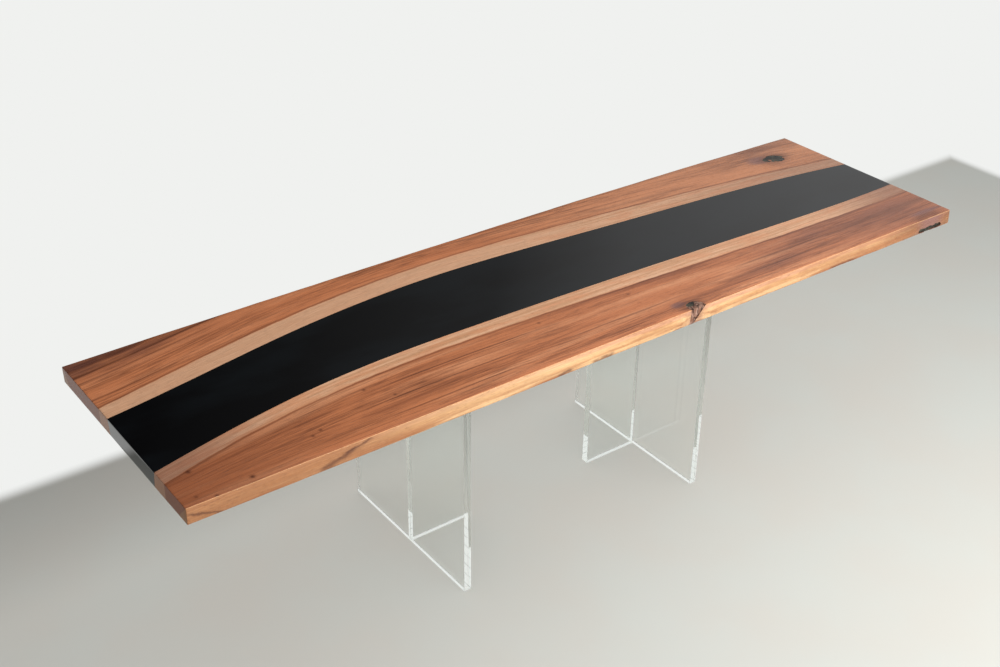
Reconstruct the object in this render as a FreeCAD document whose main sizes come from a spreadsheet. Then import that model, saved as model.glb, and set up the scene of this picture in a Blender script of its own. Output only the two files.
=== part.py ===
import FreeCAD, Part
import os
import Sketcher

from FreeCAD import Placement, Rotation, Vector

# A live edge dining table: two walnut slabs with a black resin river cast between them,
# carried on two T-shaped pedestals of clear acrylic. Millimetres, +Z up. The origin is on
# the floor under the middle of the top, +X runs along the top, +Y towards its back edge.

# Driving dimensions: alias, value, what it measures
SIZES = (
    ("top_length", 2743, "length of the top, square end to square end"),
    ("top_width", 770, "width of the top over its two live edges"),
    ("top_thickness", 48, "thickness of the slabs and the river"),
    ("table_height", 762, "floor to the upper face of the top"),
    ("live_edge_lean", 2, "how far the outer live edges draw in from top to bottom"),
    ("river_edge_lean", 8, "how far each river edge draws in from top to bottom"),
    ("front_knot_place", 1600, "left end of the top to the knot in the front edge"),
    ("front_knot_radius", 30, "radius of the front knot at the upper face"),
    ("front_knot_foot_radius", 8, "radius of the front knot at the under face"),
    ("front_knot_depth", 22, "front edge to the knot's middle at the upper face"),
    ("front_knot_foot_depth", 8, "front edge to the knot's middle at the under face"),
    ("knot_recess", 7, "front edge back to the face of the two edge fillings"),
    ("back_knot_end_inset", 172, "right end of the top to the middle of the back knot"),
    ("back_knot_edge_inset", 135, "back edge of the top to the middle of the back knot"),
    ("back_knot_length", 92, "length of the back knot along the grain"),
    ("back_knot_width", 64, "width of the back knot across the grain"),
    ("back_knot_depth", 20, "depth of the resin in the back knot"),
    ("edge_pocket_end_inset", 97, "right end of the top to the middle of the bark pocket"),
    ("edge_pocket_rise", 13, "under face of the top up to the middle of the bark pocket"),
    ("edge_pocket_length", 110, "length of the bark pocket along the front edge"),
    ("edge_pocket_height", 18, "height of the bark pocket"),
    ("edge_pocket_depth", 20, "depth of the bark pocket behind the front edge"),
    ("acrylic_thickness", 25.4, "thickness of the acrylic panels"),
    ("panel_width", 596, "width of a pedestal's cross panel"),
    ("stem_length", 200, "length of a pedestal's stem panel"),
    ("panel_arris", 1, "flat on the polished corners of the panels"),
    ("pedestal_spread", 927, "outer face to outer face of the two cross panels"),
    ("pedestal_shift_x", -53, "middle of the two pedestals from the middle of the top, along X"),
    ("pedestal_shift_y", 25.5, "middle of the two pedestals from the middle of the top, along Y"),
    ("plate_thickness", 18, "thickness of the acrylic mounting plates"),
    ("plate_margin", 20, "how far a mounting plate reaches past its panels"),
    ("plate_corner_radius", 12, "corner radius of the mounting plates"),
    ("plate_seat_depth", 6, "depth of the housing that takes the panels' upper edges"),
    ("plate_seat_clearance", 0.1, "gap for the solvent cement round the panels"),
    ("plate_screw_row", 65, "middle of the stem to the outer plate screws, along X"),
    ("plate_screw_reach", 230, "pedestal's centre line to the outer plate screws, along Y"),
    ("plate_screw_inner_reach", 75, "pedestal's centre line to the inner plate screws, along Y"),
    ("channel_width", 50, "width of a stiffening channel over its legs"),
    ("channel_leg", 16, "height of a channel's legs"),
    ("channel_gauge", 4, "thickness of a channel's web and legs"),
    ("channel_inset", 0.5, "how far a channel's web lies above the under face"),
    ("channel_clearance", 0.5, "gap round a channel in its groove"),
    ("channel_end_inset", 372, "end of the top to the middle of the outer channels"),
    ("channel_edge_margin", 44, "live edge of the top to the end of a channel"),
    ("channel_screw_margin", 25, "end of a channel to its first screw"),
    ("channel_screw_pitch", 60, "first screw to second screw"),
    ("channel_slot_length", 14, "length of a channel's screw slots"),
    ("screw_diameter", 6, "thread diameter of the screws"),
    ("screw_clearance", 0.5, "gap round a screw where it passes through"),
    ("screw_engagement", 10.4, "length of screw inside its insert"),
    ("screw_head_diameter", 10.5, "diameter of a screw's button head"),
    ("screw_head_height", 3.3, "height of a screw's button head"),
    ("screw_head_round", 2.4, "round of a screw's button head"),
    ("screw_socket_width", 4, "width across the flats of a screw's socket"),
    ("screw_socket_depth", 2, "depth of a screw's socket"),
    ("washer_diameter", 18, "outer diameter of the washers"),
    ("washer_thickness", 1.6, "thickness of the washers"),
    ("insert_diameter", 10, "outer diameter of the threaded inserts"),
    ("insert_length", 13, "length of the threaded inserts"),
    ("insert_clearance", 0.05, "gap round an insert, and round the screw in it"),
    ("insert_overdrill", 5, "depth drilled past the end of an insert"),
    ("overrun", 20, "how far an open cut runs past the piece"),
)

# Control points of the four long curves, left to right: along the top as shares of
# its length, across it as shares of its width from the front edge
ALONG_SHARES = (0, 0.07, 0.2, 0.4, 0.6, 0.8, 0.93, 1)
FRONT_EDGE_SHARES = (0, 0, 0, 0.004, 0.0065, 0.003, 0.003, 0.002)
RIVER_FRONT_SHARES = (0.223, 0.289, 0.393, 0.382, 0.366, 0.331, 0.317, 0.328)
RIVER_BACK_SHARES = (0.586, 0.623, 0.739, 0.809, 0.739, 0.695, 0.641, 0.595)
BACK_EDGE_SHARES = (0.98, 0.985, 0.993, 1, 1, 0.993, 0.981, 0.973)
CURVE_DEGREE = 3
HALF_TURN = 180
SKETCH_ORIGIN = -1

# How far each curve moves towards the back edge between the upper and the under face
FRONT_EDGE = (FRONT_EDGE_SHARES, "sizes.live_edge_lean")
RIVER_FRONT = (RIVER_FRONT_SHARES, "sizes.river_edge_lean")
RIVER_BACK = (RIVER_BACK_SHARES, "-sizes.river_edge_lean")
BACK_EDGE = (BACK_EDGE_SHARES, "-sizes.live_edge_lean")

SIDES = ("left", "right")
CHANNEL_PLACES = {
    "left": "sizes.channel_end_inset",
    "middle": "sizes.top_length / 2",
    "right": "sizes.top_length - sizes.channel_end_inset",
}
CHANNEL_LENGTH = "(sizes.top_width - 2 * sizes.channel_edge_margin)"
OUTER_SCREW = f"({CHANNEL_LENGTH} / 2 - sizes.channel_screw_margin)"
INNER_SCREW = f"({OUTER_SCREW} - sizes.channel_screw_pitch)"
CHANNEL_SCREW_STEPS = (f"-{OUTER_SCREW}", f"-{INNER_SCREW}", "0", INNER_SCREW, OUTER_SCREW)
CHANNEL_RECESS = "(sizes.channel_inset + sizes.channel_gauge)"
INSERT_HOLE = "(sizes.insert_diameter + 2 * sizes.insert_clearance)"
INSERT_HOLE_DEPTH = "(sizes.insert_length + sizes.insert_overdrill)"
SCREW_HOLE = "(sizes.screw_diameter + 2 * sizes.screw_clearance)"
UNDER_FACE = "(sizes.table_height - sizes.top_thickness)"
PANEL_HEIGHT = f"({UNDER_FACE} - sizes.plate_thickness + sizes.plate_seat_depth)"
STEM_MIDDLE = "(sizes.acrylic_thickness + sizes.stem_length / 2)"
STEM_END = "(sizes.acrylic_thickness + sizes.stem_length)"
PLATE_SCREWS = tuple(
    (f"({STEM_MIDDLE} {row})", f"({reach})")
    for row, reach in (
        ("- sizes.plate_screw_row", "-sizes.plate_screw_reach"),
        ("- sizes.plate_screw_row", "sizes.plate_screw_reach"),
        ("+ 0", "-sizes.plate_screw_inner_reach"),
        ("+ 0", "sizes.plate_screw_inner_reach"),
        ("+ sizes.plate_screw_row", "-sizes.plate_screw_reach"),
        ("+ sizes.plate_screw_row", "sizes.plate_screw_reach"),
    )
)

doc = FreeCAD.newDocument("live_edge_table")
sheet = doc.addObject("Spreadsheet::Sheet", "sizes")
for row, (alias, size, meaning) in enumerate(SIZES, start=1):
    sheet.set(f"A{row}", alias)
    sheet.set(f"B{row}", str(size))
    sheet.set(f"C{row}", meaning)
    sheet.setAlias(f"B{row}", alias)
doc.recompute()


def number(formula):
    """Give the present value of a formula in the sheet's sizes."""
    return float(sheet.evalExpression(formula))


def origin_plane(body, role):
    """Find one of a body's own origin planes."""
    return next(plane for plane in body.Origin.OriginFeatures if plane.Role == role)


def new_body(label):
    """Start a piece."""
    body = doc.addObject("PartDesign::Body", label)
    body.Label = label
    return body


def new_sketch(body, name, level="0", role="XY_Plane"):
    """Start a sketch on an origin plane, raised along the plane's normal."""
    sketch = body.newObject("Sketcher::SketchObject", f"{body.Label}_{name}")
    sketch.AttachmentSupport = [(origin_plane(body, role), "")]
    sketch.MapMode = "FlatFace"
    sketch.setExpression("AttachmentOffset.Base.z", level)
    return sketch


def tie(sketch, formula, kind, *what):
    """Add a dimension that follows a formula."""
    dimension = sketch.addConstraint(Sketcher.Constraint(kind, *what, number(formula)))
    sketch.setExpression(f"Constraints[{dimension}]", formula)


def tie_point(sketch, piece, point, x, y):
    """Hold a point at its distances from the sketch's origin."""
    tie(sketch, x, "DistanceX", SKETCH_ORIGIN, 1, piece, point)
    tie(sketch, y, "DistanceY", SKETCH_ORIGIN, 1, piece, point)


def add_polygon(sketch, corners):
    """Draw a closed outline of straight lines through corners given as formulas."""
    points = [Vector(number(x), number(y), 0) for x, y in corners]
    lines = [
        sketch.addGeometry(Part.LineSegment(start, end), False)
        for start, end in zip(points, points[1:] + points[:1])
    ]
    for line, following in zip(lines, lines[1:] + lines[:1]):
        sketch.addConstraint(Sketcher.Constraint("Coincident", line, 2, following, 1))
    for line, (x, y) in zip(lines, corners):
        tie_point(sketch, line, 1, x, y)


def add_rectangle(sketch, left, right, front, back):
    """Draw a rectangle between four formulas."""
    add_polygon(sketch, ((left, front), (right, front), (right, back), (left, back)))


def add_circle(sketch, x, y, diameter):
    """Draw a circle."""
    middle = Vector(number(x), number(y), 0)
    ring = sketch.addGeometry(Part.Circle(middle, Vector(0, 0, 1), number(diameter) / 2), False)
    tie_point(sketch, ring, 3, x, y)
    tie(sketch, diameter, "Diameter", ring)


def add_slot(sketch, x, y, length, width, along_y):
    """Draw a round-ended slot about a middle point, along X or along Y of the sketch."""
    step = f"(({length}) - ({width})) / 2"
    if along_y:
        first, second = (x, f"{y} - {step}"), (x, f"{y} + {step}")
        side = Vector(1, 0, 0)
    else:
        first, second = (f"{x} - {step}", y), (f"{x} + {step}", y)
        side = Vector(0, -1, 0)
    radius = number(width) / 2
    centres = [Vector(number(place_x), number(place_y), 0) for place_x, place_y in (first, second)]
    outward = (centres[1] - centres[0]).normalize()
    ends = []
    for centre, reach in zip(centres, (-radius, radius)):
        arc = Part.Arc(centre + side * reach, centre + outward * reach, centre - side * reach)
        ends.append(sketch.addGeometry(arc, False))
    sides = [
        sketch.addGeometry(Part.LineSegment(centres[0] + side * radius, centres[1] + side * radius), False),
        sketch.addGeometry(Part.LineSegment(centres[1] - side * radius, centres[0] - side * radius), False),
    ]
    for line, (start, end) in zip(sides, ((ends[0], ends[1]), (ends[1], ends[0]))):
        sketch.addConstraint(Sketcher.Constraint("Tangent", start, 2, line, 1))
        sketch.addConstraint(Sketcher.Constraint("Tangent", line, 2, end, 1))
    tie_point(sketch, ends[0], 3, *first)
    tie_point(sketch, ends[1], 3, *second)
    tie(sketch, f"({width}) / 2", "Radius", ends[0])


def add_long_curve(sketch, across_shares, lean):
    """Draw one of the top's long curves; its control points follow the length and width."""
    places = [
        (f"{along} * sizes.top_length", f"{across} * sizes.top_width + {lean}")
        for along, across in zip(ALONG_SHARES, across_shares)
    ]
    curve = Part.BSplineCurve()
    curve.buildFromPoles([Vector(number(x), number(y), 0) for x, y in places], False, CURVE_DEGREE)
    line = sketch.addGeometry(curve, False)
    exposed = sketch.GeometryCount
    sketch.exposeInternalGeometry(line)
    controls = [
        index for index in range(exposed, sketch.GeometryCount)
        if sketch.Geometry[index].TypeId == "Part::GeomCircle"
    ]
    for control, (x, y) in zip(controls, places):
        tie_point(sketch, control, 3, x, y)
    return line


def top_outline(body, name, level, front, back, leaning):
    """Draw a piece of the top in plan: two long curves joined by the square ends."""
    sketch = new_sketch(body, name, level)
    curves = [
        add_long_curve(sketch, shares, lean if leaning else "0")
        for shares, lean in (front, back)
    ]
    for end, point in (("0", 1), ("sizes.top_length", 2)):
        corners = [Vector(number(end), number("sizes.top_width") * at, 0) for at in (0, 1)]
        line = sketch.addGeometry(Part.LineSegment(*corners), False)
        for line_point, curve in zip((1, 2), curves):
            sketch.addConstraint(Sketcher.Constraint("Coincident", line, line_point, curve, point))
    return sketch


def loft(body, name, kind, low, high):
    """Join two outlines with straight-ruled sides, as a solid or as a cut."""
    feature = body.newObject(kind, f"{body.Label}_{name}")
    feature.Profile = (low, [""])
    feature.Sections = [(high, [""])]
    feature.Ruled = True
    doc.recompute()
    return feature


def pad(body, name, sketch, length, down=False):
    """Raise a sketch into a solid."""
    feature = body.newObject("PartDesign::Pad", f"{body.Label}_{name}")
    feature.Profile = (sketch, [""])
    feature.setExpression("Length", length)
    feature.Reversed = down
    doc.recompute()
    return feature


def pocket(body, name, sketch, depth, up=False):
    """Cut a sketch out of a piece, and make sure that something was cut."""
    before = body.Shape.Volume
    feature = body.newObject("PartDesign::Pocket", f"{body.Label}_{name}")
    feature.Profile = (sketch, [""])
    feature.setExpression("Length", depth)
    feature.Reversed = up
    doc.recompute()
    if body.Shape.Volume >= before:
        raise RuntimeError(f"{feature.Name} cuts nothing")
    return feature


def dress(body, name, kind, size_name, formula, base, wanted):
    """Round or flatten the edges that a test picks out."""
    feature = body.newObject(kind, f"{body.Label}_{name}")
    picked = [f"Edge{index}" for index, edge in enumerate(base.Shape.Edges, start=1) if wanted(edge)]
    feature.Base = (base, picked)
    feature.setExpression(size_name, formula)
    doc.recompute()
    return feature


def upright(edge):
    """Tell whether an edge stands upright."""
    box = edge.BoundBox
    return box.ZLength > max(box.XLength, box.YLength)


def place(piece, x, y, z):
    """Hold a piece's origin at three formulas."""
    for axis, formula in (("x", x), ("y", y), ("z", z)):
        piece.setExpression(f"Placement.Base.{axis}", formula)


def place_in_top(piece):
    """Put a piece that is drawn from the top's front left corner on the under face's level."""
    place(piece, "-sizes.top_length / 2", "-sizes.top_width / 2", UNDER_FACE)


def pedestal_start(side):
    """Give the X of a cross panel's outer face, and which way its stem points."""
    if side == "left":
        return "(sizes.pedestal_shift_x - sizes.pedestal_spread / 2)", "1"
    return "(sizes.pedestal_shift_x + sizes.pedestal_spread / 2)", "-1"


def place_in_pedestal(piece, side):
    """Put a piece that is drawn from the middle of a cross panel's outer face, stem along +X."""
    start, _ = pedestal_start(side)
    if side == "right":
        piece.Placement = Placement(Vector(), Rotation(Vector(0, 0, 1), HALF_TURN))
    place(piece, start, "sizes.pedestal_shift_y", "0")


def plate_screw_places(side):
    """Give a plate's screw places, measured from the top's front left corner."""
    start, way = pedestal_start(side)
    middle_x = f"sizes.top_length / 2 + {start}"
    middle_y = "sizes.top_width / 2 + sizes.pedestal_shift_y"
    return [(f"{middle_x} + {way} * {x}", f"{middle_y} + {y}") for x, y in PLATE_SCREWS]


def channel_screw_places(name):
    """Give a channel's screw places, measured from the top's front left corner."""
    return [(CHANNEL_PLACES[name], f"sizes.top_width / 2 + {step}") for step in CHANNEL_SCREW_STEPS]


def cut_channel_grooves(body):
    """Cut the grooves for the channels into the under face: a recess for the web, slots for the legs."""
    reach = f"({CHANNEL_LENGTH} / 2 + sizes.channel_clearance)"
    ends = (f"sizes.top_width / 2 - {reach}", f"sizes.top_width / 2 + {reach}")
    outer = "(sizes.channel_width / 2 + sizes.channel_clearance)"
    inner = "(sizes.channel_width / 2 - sizes.channel_gauge - sizes.channel_clearance)"
    webs = new_sketch(body, "web_recesses")
    legs = new_sketch(body, "leg_slots")
    for middle in CHANNEL_PLACES.values():
        add_rectangle(webs, f"{middle} - {outer}", f"{middle} + {outer}", *ends)
        add_rectangle(legs, f"{middle} - {outer}", f"{middle} - {inner}", *ends)
        add_rectangle(legs, f"{middle} + {inner}", f"{middle} + {outer}", *ends)
    pocket(body, "web_recess_cut", webs, CHANNEL_RECESS, up=True)
    leg_depth = "sizes.channel_inset + sizes.channel_leg + sizes.channel_clearance"
    pocket(body, "leg_slot_cut", legs, leg_depth, up=True)


def drill_insert_holes(body):
    """Drill the holes for the threaded inserts, one pattern through all pieces of the top."""
    channel_holes = new_sketch(body, "channel_holes")
    for name in CHANNEL_PLACES:
        for x, y in channel_screw_places(name):
            add_circle(channel_holes, x, y, INSERT_HOLE)
    pocket(body, "channel_hole_cut", channel_holes, f"{CHANNEL_RECESS} + {INSERT_HOLE_DEPTH}", up=True)
    plate_holes = new_sketch(body, "plate_holes")
    for side in SIDES:
        for x, y in plate_screw_places(side):
            add_circle(plate_holes, x, y, INSERT_HOLE)
    pocket(body, "plate_hole_cut", plate_holes, INSERT_HOLE_DEPTH, up=True)


def front_knot_sketches(body):
    """Draw the front knot at the under face and at the upper face."""
    along = "sizes.front_knot_place"
    low = new_sketch(body, "knot_foot")
    add_circle(low, along, "sizes.front_knot_foot_depth", "2 * sizes.front_knot_foot_radius")
    high = new_sketch(body, "knot_mouth", "sizes.top_thickness")
    add_circle(high, along, "sizes.front_knot_depth", "2 * sizes.front_knot_radius")
    return low, high


def back_knot_sketch(body):
    """Draw the back knot on the upper face."""
    sketch = new_sketch(body, "knot", "sizes.top_thickness")
    along = "sizes.top_length - sizes.back_knot_end_inset"
    across = "sizes.top_width - sizes.back_knot_edge_inset"
    add_slot(sketch, along, across, "sizes.back_knot_length", "sizes.back_knot_width", along_y=False)
    return sketch


def edge_pocket_sketch(body, setback):
    """Draw the bark pocket upright, a setback behind the front edge."""
    sketch = new_sketch(body, "bark_pocket", f"-({setback})", "XZ_Plane")
    along = "sizes.top_length - sizes.edge_pocket_end_inset"
    length, height = "sizes.edge_pocket_length", "sizes.edge_pocket_height"
    add_slot(sketch, along, "sizes.edge_pocket_rise", length, height, along_y=False)
    return sketch


def make_top_piece(label, front, back):
    """Make a slab or the river as a loft between its under and its upper outline."""
    body = new_body(label)
    low = top_outline(body, "under_outline", "0", front, back, leaning=True)
    high = top_outline(body, "upper_outline", "sizes.top_thickness", front, back, leaning=False)
    loft(body, "blank", "PartDesign::AdditiveLoft", low, high)
    cut_channel_grooves(body)
    drill_insert_holes(body)
    place_in_top(body)
    return body


def make_top():
    """Make the two slabs, the river and the resin that fills the knots."""
    front_slab = make_top_piece("front_slab", FRONT_EDGE, RIVER_FRONT)
    loft(front_slab, "knot_cut", "PartDesign::SubtractiveLoft", *front_knot_sketches(front_slab))
    pocket(front_slab, "bark_pocket_cut", edge_pocket_sketch(front_slab, "0"), "sizes.edge_pocket_depth")
    back_slab = make_top_piece("back_slab", RIVER_BACK, BACK_EDGE)
    pocket(back_slab, "knot_cut", back_knot_sketch(back_slab), "sizes.back_knot_depth")
    river = make_top_piece("resin_river", RIVER_FRONT, RIVER_BACK)

    front_fill = new_body("front_knot_fill")
    loft(front_fill, "cone", "PartDesign::AdditiveLoft", *front_knot_sketches(front_fill))
    face = new_sketch(front_fill, "front_face")
    sides = [f"sizes.front_knot_place {sign} 2 * sizes.front_knot_radius" for sign in "-+"]
    add_rectangle(face, *sides, "-sizes.overrun", "sizes.knot_recess")
    pocket(front_fill, "front_face_cut", face, "sizes.top_thickness", up=True)

    back_fill = new_body("back_knot_fill")
    pad(back_fill, "plug", back_knot_sketch(back_fill), "sizes.back_knot_depth", down=True)

    edge_fill = new_body("edge_pocket_fill")
    length = "sizes.edge_pocket_depth - sizes.knot_recess"
    pad(edge_fill, "plug", edge_pocket_sketch(edge_fill, "sizes.knot_recess"), length, down=True)

    fills = [front_fill, back_fill, edge_fill]
    for fill in fills:
        place_in_top(fill)
    return [front_slab, back_slab, river] + fills


def make_pedestal(side):
    """Make one acrylic pedestal: a cross panel, a stem panel cemented to its middle, a plate on top."""
    half_width = "sizes.panel_width / 2"
    half_stem = "sizes.acrylic_thickness / 2"
    cross = new_body(f"{side}_cross_panel")
    plan = new_sketch(cross, "plan")
    add_rectangle(plan, "0", "sizes.acrylic_thickness", f"-{half_width}", half_width)
    sheet_pad = pad(cross, "sheet", plan, PANEL_HEIGHT)
    dress(cross, "arris", "PartDesign::Chamfer", "Size", "sizes.panel_arris", sheet_pad, upright)

    stem = new_body(f"{side}_stem_panel")
    plan = new_sketch(stem, "plan")
    add_rectangle(plan, "sizes.acrylic_thickness", STEM_END, f"-{half_stem}", half_stem)
    sheet_pad = pad(stem, "sheet", plan, PANEL_HEIGHT)
    middle = number(STEM_MIDDLE)
    dress(stem, "arris", "PartDesign::Chamfer", "Size", "sizes.panel_arris", sheet_pad,
          lambda edge: upright(edge) and edge.BoundBox.XMin > middle)

    plate = new_body(f"{side}_mounting_plate")
    level = f"{UNDER_FACE} - sizes.plate_thickness"
    far_end = f"{STEM_END} + sizes.plate_margin"
    reach = f"({half_width} + sizes.plate_margin)"
    plan = new_sketch(plate, "plan", level)
    add_rectangle(plan, "-sizes.plate_margin", far_end, f"-{reach}", reach)
    sheet_pad = pad(plate, "sheet", plan, "sizes.plate_thickness")
    dress(plate, "corners", "PartDesign::Fillet", "Radius", "sizes.plate_corner_radius", sheet_pad, upright)
    gap = "sizes.plate_seat_clearance"
    cross_seat = new_sketch(plate, "cross_seat", level)
    add_rectangle(cross_seat, f"-{gap}", f"sizes.acrylic_thickness + {gap}",
                  f"-{half_width} - {gap}", f"{half_width} + {gap}")
    pocket(plate, "cross_seat_cut", cross_seat, "sizes.plate_seat_depth", up=True)
    stem_seat = new_sketch(plate, "stem_seat", level)
    add_rectangle(stem_seat, "sizes.acrylic_thickness", f"{STEM_END} + {gap}",
                  f"-{half_stem} - {gap}", f"{half_stem} + {gap}")
    pocket(plate, "stem_seat_cut", stem_seat, "sizes.plate_seat_depth", up=True)
    holes = new_sketch(plate, "screw_holes", level)
    for x, y in PLATE_SCREWS:
        add_circle(holes, x, y, SCREW_HOLE)
    pocket(plate, "screw_hole_cut", holes, "sizes.plate_thickness", up=True)

    pieces = [cross, stem, plate]
    for piece in pieces:
        place_in_pedestal(piece, side)
    return pieces


def make_channel(name):
    """Make one steel channel, its web down and its legs up in the top, with slotted screw holes."""
    body = new_body(f"{name}_channel")
    half_width = "sizes.channel_width / 2"
    half_length = f"{CHANNEL_LENGTH} / 2"
    plan = new_sketch(body, "plan")
    add_rectangle(plan, f"-{half_width}", half_width, f"-{half_length}", half_length)
    pad(body, "bar", plan, "sizes.channel_leg")
    inside = new_sketch(body, "inside", "sizes.channel_leg")
    inner = f"({half_width} - sizes.channel_gauge)"
    beyond = f"({half_length} + sizes.overrun)"
    add_rectangle(inside, f"-{inner}", inner, f"-{beyond}", beyond)
    pocket(body, "inside_cut", inside, "sizes.channel_leg - sizes.channel_gauge")
    slots = new_sketch(body, "slots")
    for step in CHANNEL_SCREW_STEPS:
        add_slot(slots, "0", step, "sizes.channel_slot_length", SCREW_HOLE, along_y=True)
    pocket(body, "slot_cut", slots, "sizes.channel_gauge", up=True)
    across = f"{CHANNEL_PLACES[name]} - sizes.top_length / 2"
    place(body, across, "0", f"{UNDER_FACE} + sizes.channel_inset")
    return body


def make_screw(name, length):
    """Make a button head screw, head down, its bearing face at zero."""
    body = new_body(name)
    head = new_sketch(body, "head")
    add_circle(head, "0", "0", "sizes.screw_head_diameter")
    pad(body, "head_disc", head, "sizes.screw_head_height", down=True)
    shank = new_sketch(body, "shank")
    add_circle(shank, "0", "0", "sizes.screw_diameter")
    shank_pad = pad(body, "shank_rod", shank, length)
    crown = -number("sizes.screw_head_height")
    dress(body, "head_round", "PartDesign::Fillet", "Radius", "sizes.screw_head_round", shank_pad,
          lambda edge: edge.BoundBox.ZMax < crown / 2 and not upright(edge))
    socket = new_sketch(body, "socket", "-sizes.screw_head_height")
    flat = "sizes.screw_socket_width / 2"
    corner = "sizes.screw_socket_width / (2 * sqrt(3))"
    tip = "sizes.screw_socket_width / sqrt(3)"
    add_polygon(socket, (("0", f"-{tip}"), (flat, f"-{corner}"), (flat, corner),
                         ("0", tip), (f"-{flat}", corner), (f"-{flat}", f"-{corner}")))
    pocket(body, "socket_cut", socket, "sizes.screw_socket_depth", up=True)
    return body


def make_ring(name, outer, inner, height):
    """Make a ring, its lower face at zero."""
    body = new_body(name)
    plan = new_sketch(body, "plan")
    add_circle(plan, "0", "0", outer)
    add_circle(plan, "0", "0", inner)
    pad(body, "ring", plan, height)
    return body


def fastener_group(label, pattern, places, level):
    """Set copies of one fastener at their places, as one node of separate solids."""
    group = doc.addObject("Part::Feature", label)
    group.Label = label
    copies = []
    for x, y in places:
        copy = pattern.Shape.copy()
        copy.translate(Vector(number(x), number(y), number(level)))
        copies.append(copy)
    group.Shape = Part.makeCompound(copies)
    place_in_top(group)
    return group


def make_fasteners():
    """Make the screws, washers and threaded inserts of the channels and the plates."""
    insert_bore = "sizes.screw_diameter + 2 * sizes.insert_clearance"
    insert = make_ring("insert_pattern", "sizes.insert_diameter", insert_bore, "sizes.insert_length")
    washer = make_ring("washer_pattern", "sizes.washer_diameter", SCREW_HOLE, "sizes.washer_thickness")
    under_head = "sizes.washer_thickness + sizes.screw_engagement"
    channel_screw = make_screw("channel_screw_pattern", f"sizes.channel_gauge + {under_head}")
    plate_screw = make_screw("plate_screw_pattern", f"sizes.plate_thickness + {under_head}")
    groups = []
    for name in CHANNEL_PLACES:
        places = channel_screw_places(name)
        seat = "sizes.channel_inset - sizes.washer_thickness"
        groups.append(fastener_group(f"{name}_channel_screws", channel_screw, places, seat))
        groups.append(fastener_group(f"{name}_channel_washers", washer, places, seat))
        groups.append(fastener_group(f"{name}_channel_inserts", insert, places, CHANNEL_RECESS))
    for side in SIDES:
        places = plate_screw_places(side)
        seat = "-sizes.plate_thickness - sizes.washer_thickness"
        groups.append(fastener_group(f"{side}_plate_screws", plate_screw, places, seat))
        groups.append(fastener_group(f"{side}_plate_washers", washer, places, seat))
        groups.append(fastener_group(f"{side}_plate_inserts", insert, places, "0"))
    return groups


def check_document(pieces):
    """Stop if any object failed or any piece is not a sound solid."""
    doc.recompute()
    for item in doc.Objects:
        if "Invalid" in item.State or "Error" in item.State:
            raise RuntimeError(f"{item.Label} failed: {item.State}")
    for piece in pieces:
        if piece.Shape.isNull() or not piece.Shape.isValid() or not piece.Shape.Solids:
            raise RuntimeError(f"{piece.Label} is not a sound solid")


def write_parts(pieces):
    """Write each piece to its own file."""
    os.makedirs("parts", exist_ok=True)
    for piece in pieces:
        piece.Shape.exportStep(f"parts/{piece.Label}.step")


table = make_top()
for side in SIDES:
    table += make_pedestal(side)
table += [make_channel(name) for name in CHANNEL_PLACES]
table += make_fasteners()
check_document(table)
write_parts(table)
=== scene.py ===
"""A live edge dining table: two walnut slabs, a river of black resin and two clear acrylic pedestals."""

import math
from dataclasses import dataclass

import bpy
import numpy as np
from bpy.props import FloatProperty, FloatVectorProperty, IntProperty, PointerProperty
from mathutils import Matrix, Vector, noise


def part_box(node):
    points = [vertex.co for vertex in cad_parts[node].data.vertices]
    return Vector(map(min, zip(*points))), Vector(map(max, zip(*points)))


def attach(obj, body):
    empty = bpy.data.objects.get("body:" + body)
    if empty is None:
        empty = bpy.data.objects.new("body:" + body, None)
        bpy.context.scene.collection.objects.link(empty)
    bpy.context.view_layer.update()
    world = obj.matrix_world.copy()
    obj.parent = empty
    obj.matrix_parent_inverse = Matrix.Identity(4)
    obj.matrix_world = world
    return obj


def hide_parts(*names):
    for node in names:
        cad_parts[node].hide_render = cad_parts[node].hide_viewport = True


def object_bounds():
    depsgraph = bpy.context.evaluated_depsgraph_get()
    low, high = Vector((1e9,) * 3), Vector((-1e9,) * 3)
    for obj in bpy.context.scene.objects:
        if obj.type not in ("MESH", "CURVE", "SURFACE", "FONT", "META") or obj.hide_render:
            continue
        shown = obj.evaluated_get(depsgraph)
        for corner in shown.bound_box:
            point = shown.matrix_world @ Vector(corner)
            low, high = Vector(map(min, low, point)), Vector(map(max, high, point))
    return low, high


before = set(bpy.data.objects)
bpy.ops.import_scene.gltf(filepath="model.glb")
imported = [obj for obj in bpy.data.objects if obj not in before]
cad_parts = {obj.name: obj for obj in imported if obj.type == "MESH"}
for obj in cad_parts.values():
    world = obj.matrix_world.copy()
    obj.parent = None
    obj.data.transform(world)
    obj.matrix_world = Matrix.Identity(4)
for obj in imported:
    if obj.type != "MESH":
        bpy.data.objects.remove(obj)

bl_info = {
    "name": "Live edge dining table",
    "version": (1, 0, 0),
    "blender": (4, 5, 0),
    "location": "View3D > Sidebar > Table",
    "description": "Dresses a walnut and resin table top and its acrylic pedestals",
    "category": "Object",
}

# The bounding box of the solids, and the main heights, come from the frame
CAD_LOW, CAD_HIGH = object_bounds()
TOP_LENGTH = CAD_HIGH.x - CAD_LOW.x
TOP_WIDTH = CAD_HIGH.y - CAD_LOW.y
TOP_FACE = CAD_HIGH.z
UNDER_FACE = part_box("front_slab")[0].z
TOP_THICKNESS = TOP_FACE - UNDER_FACE

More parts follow.
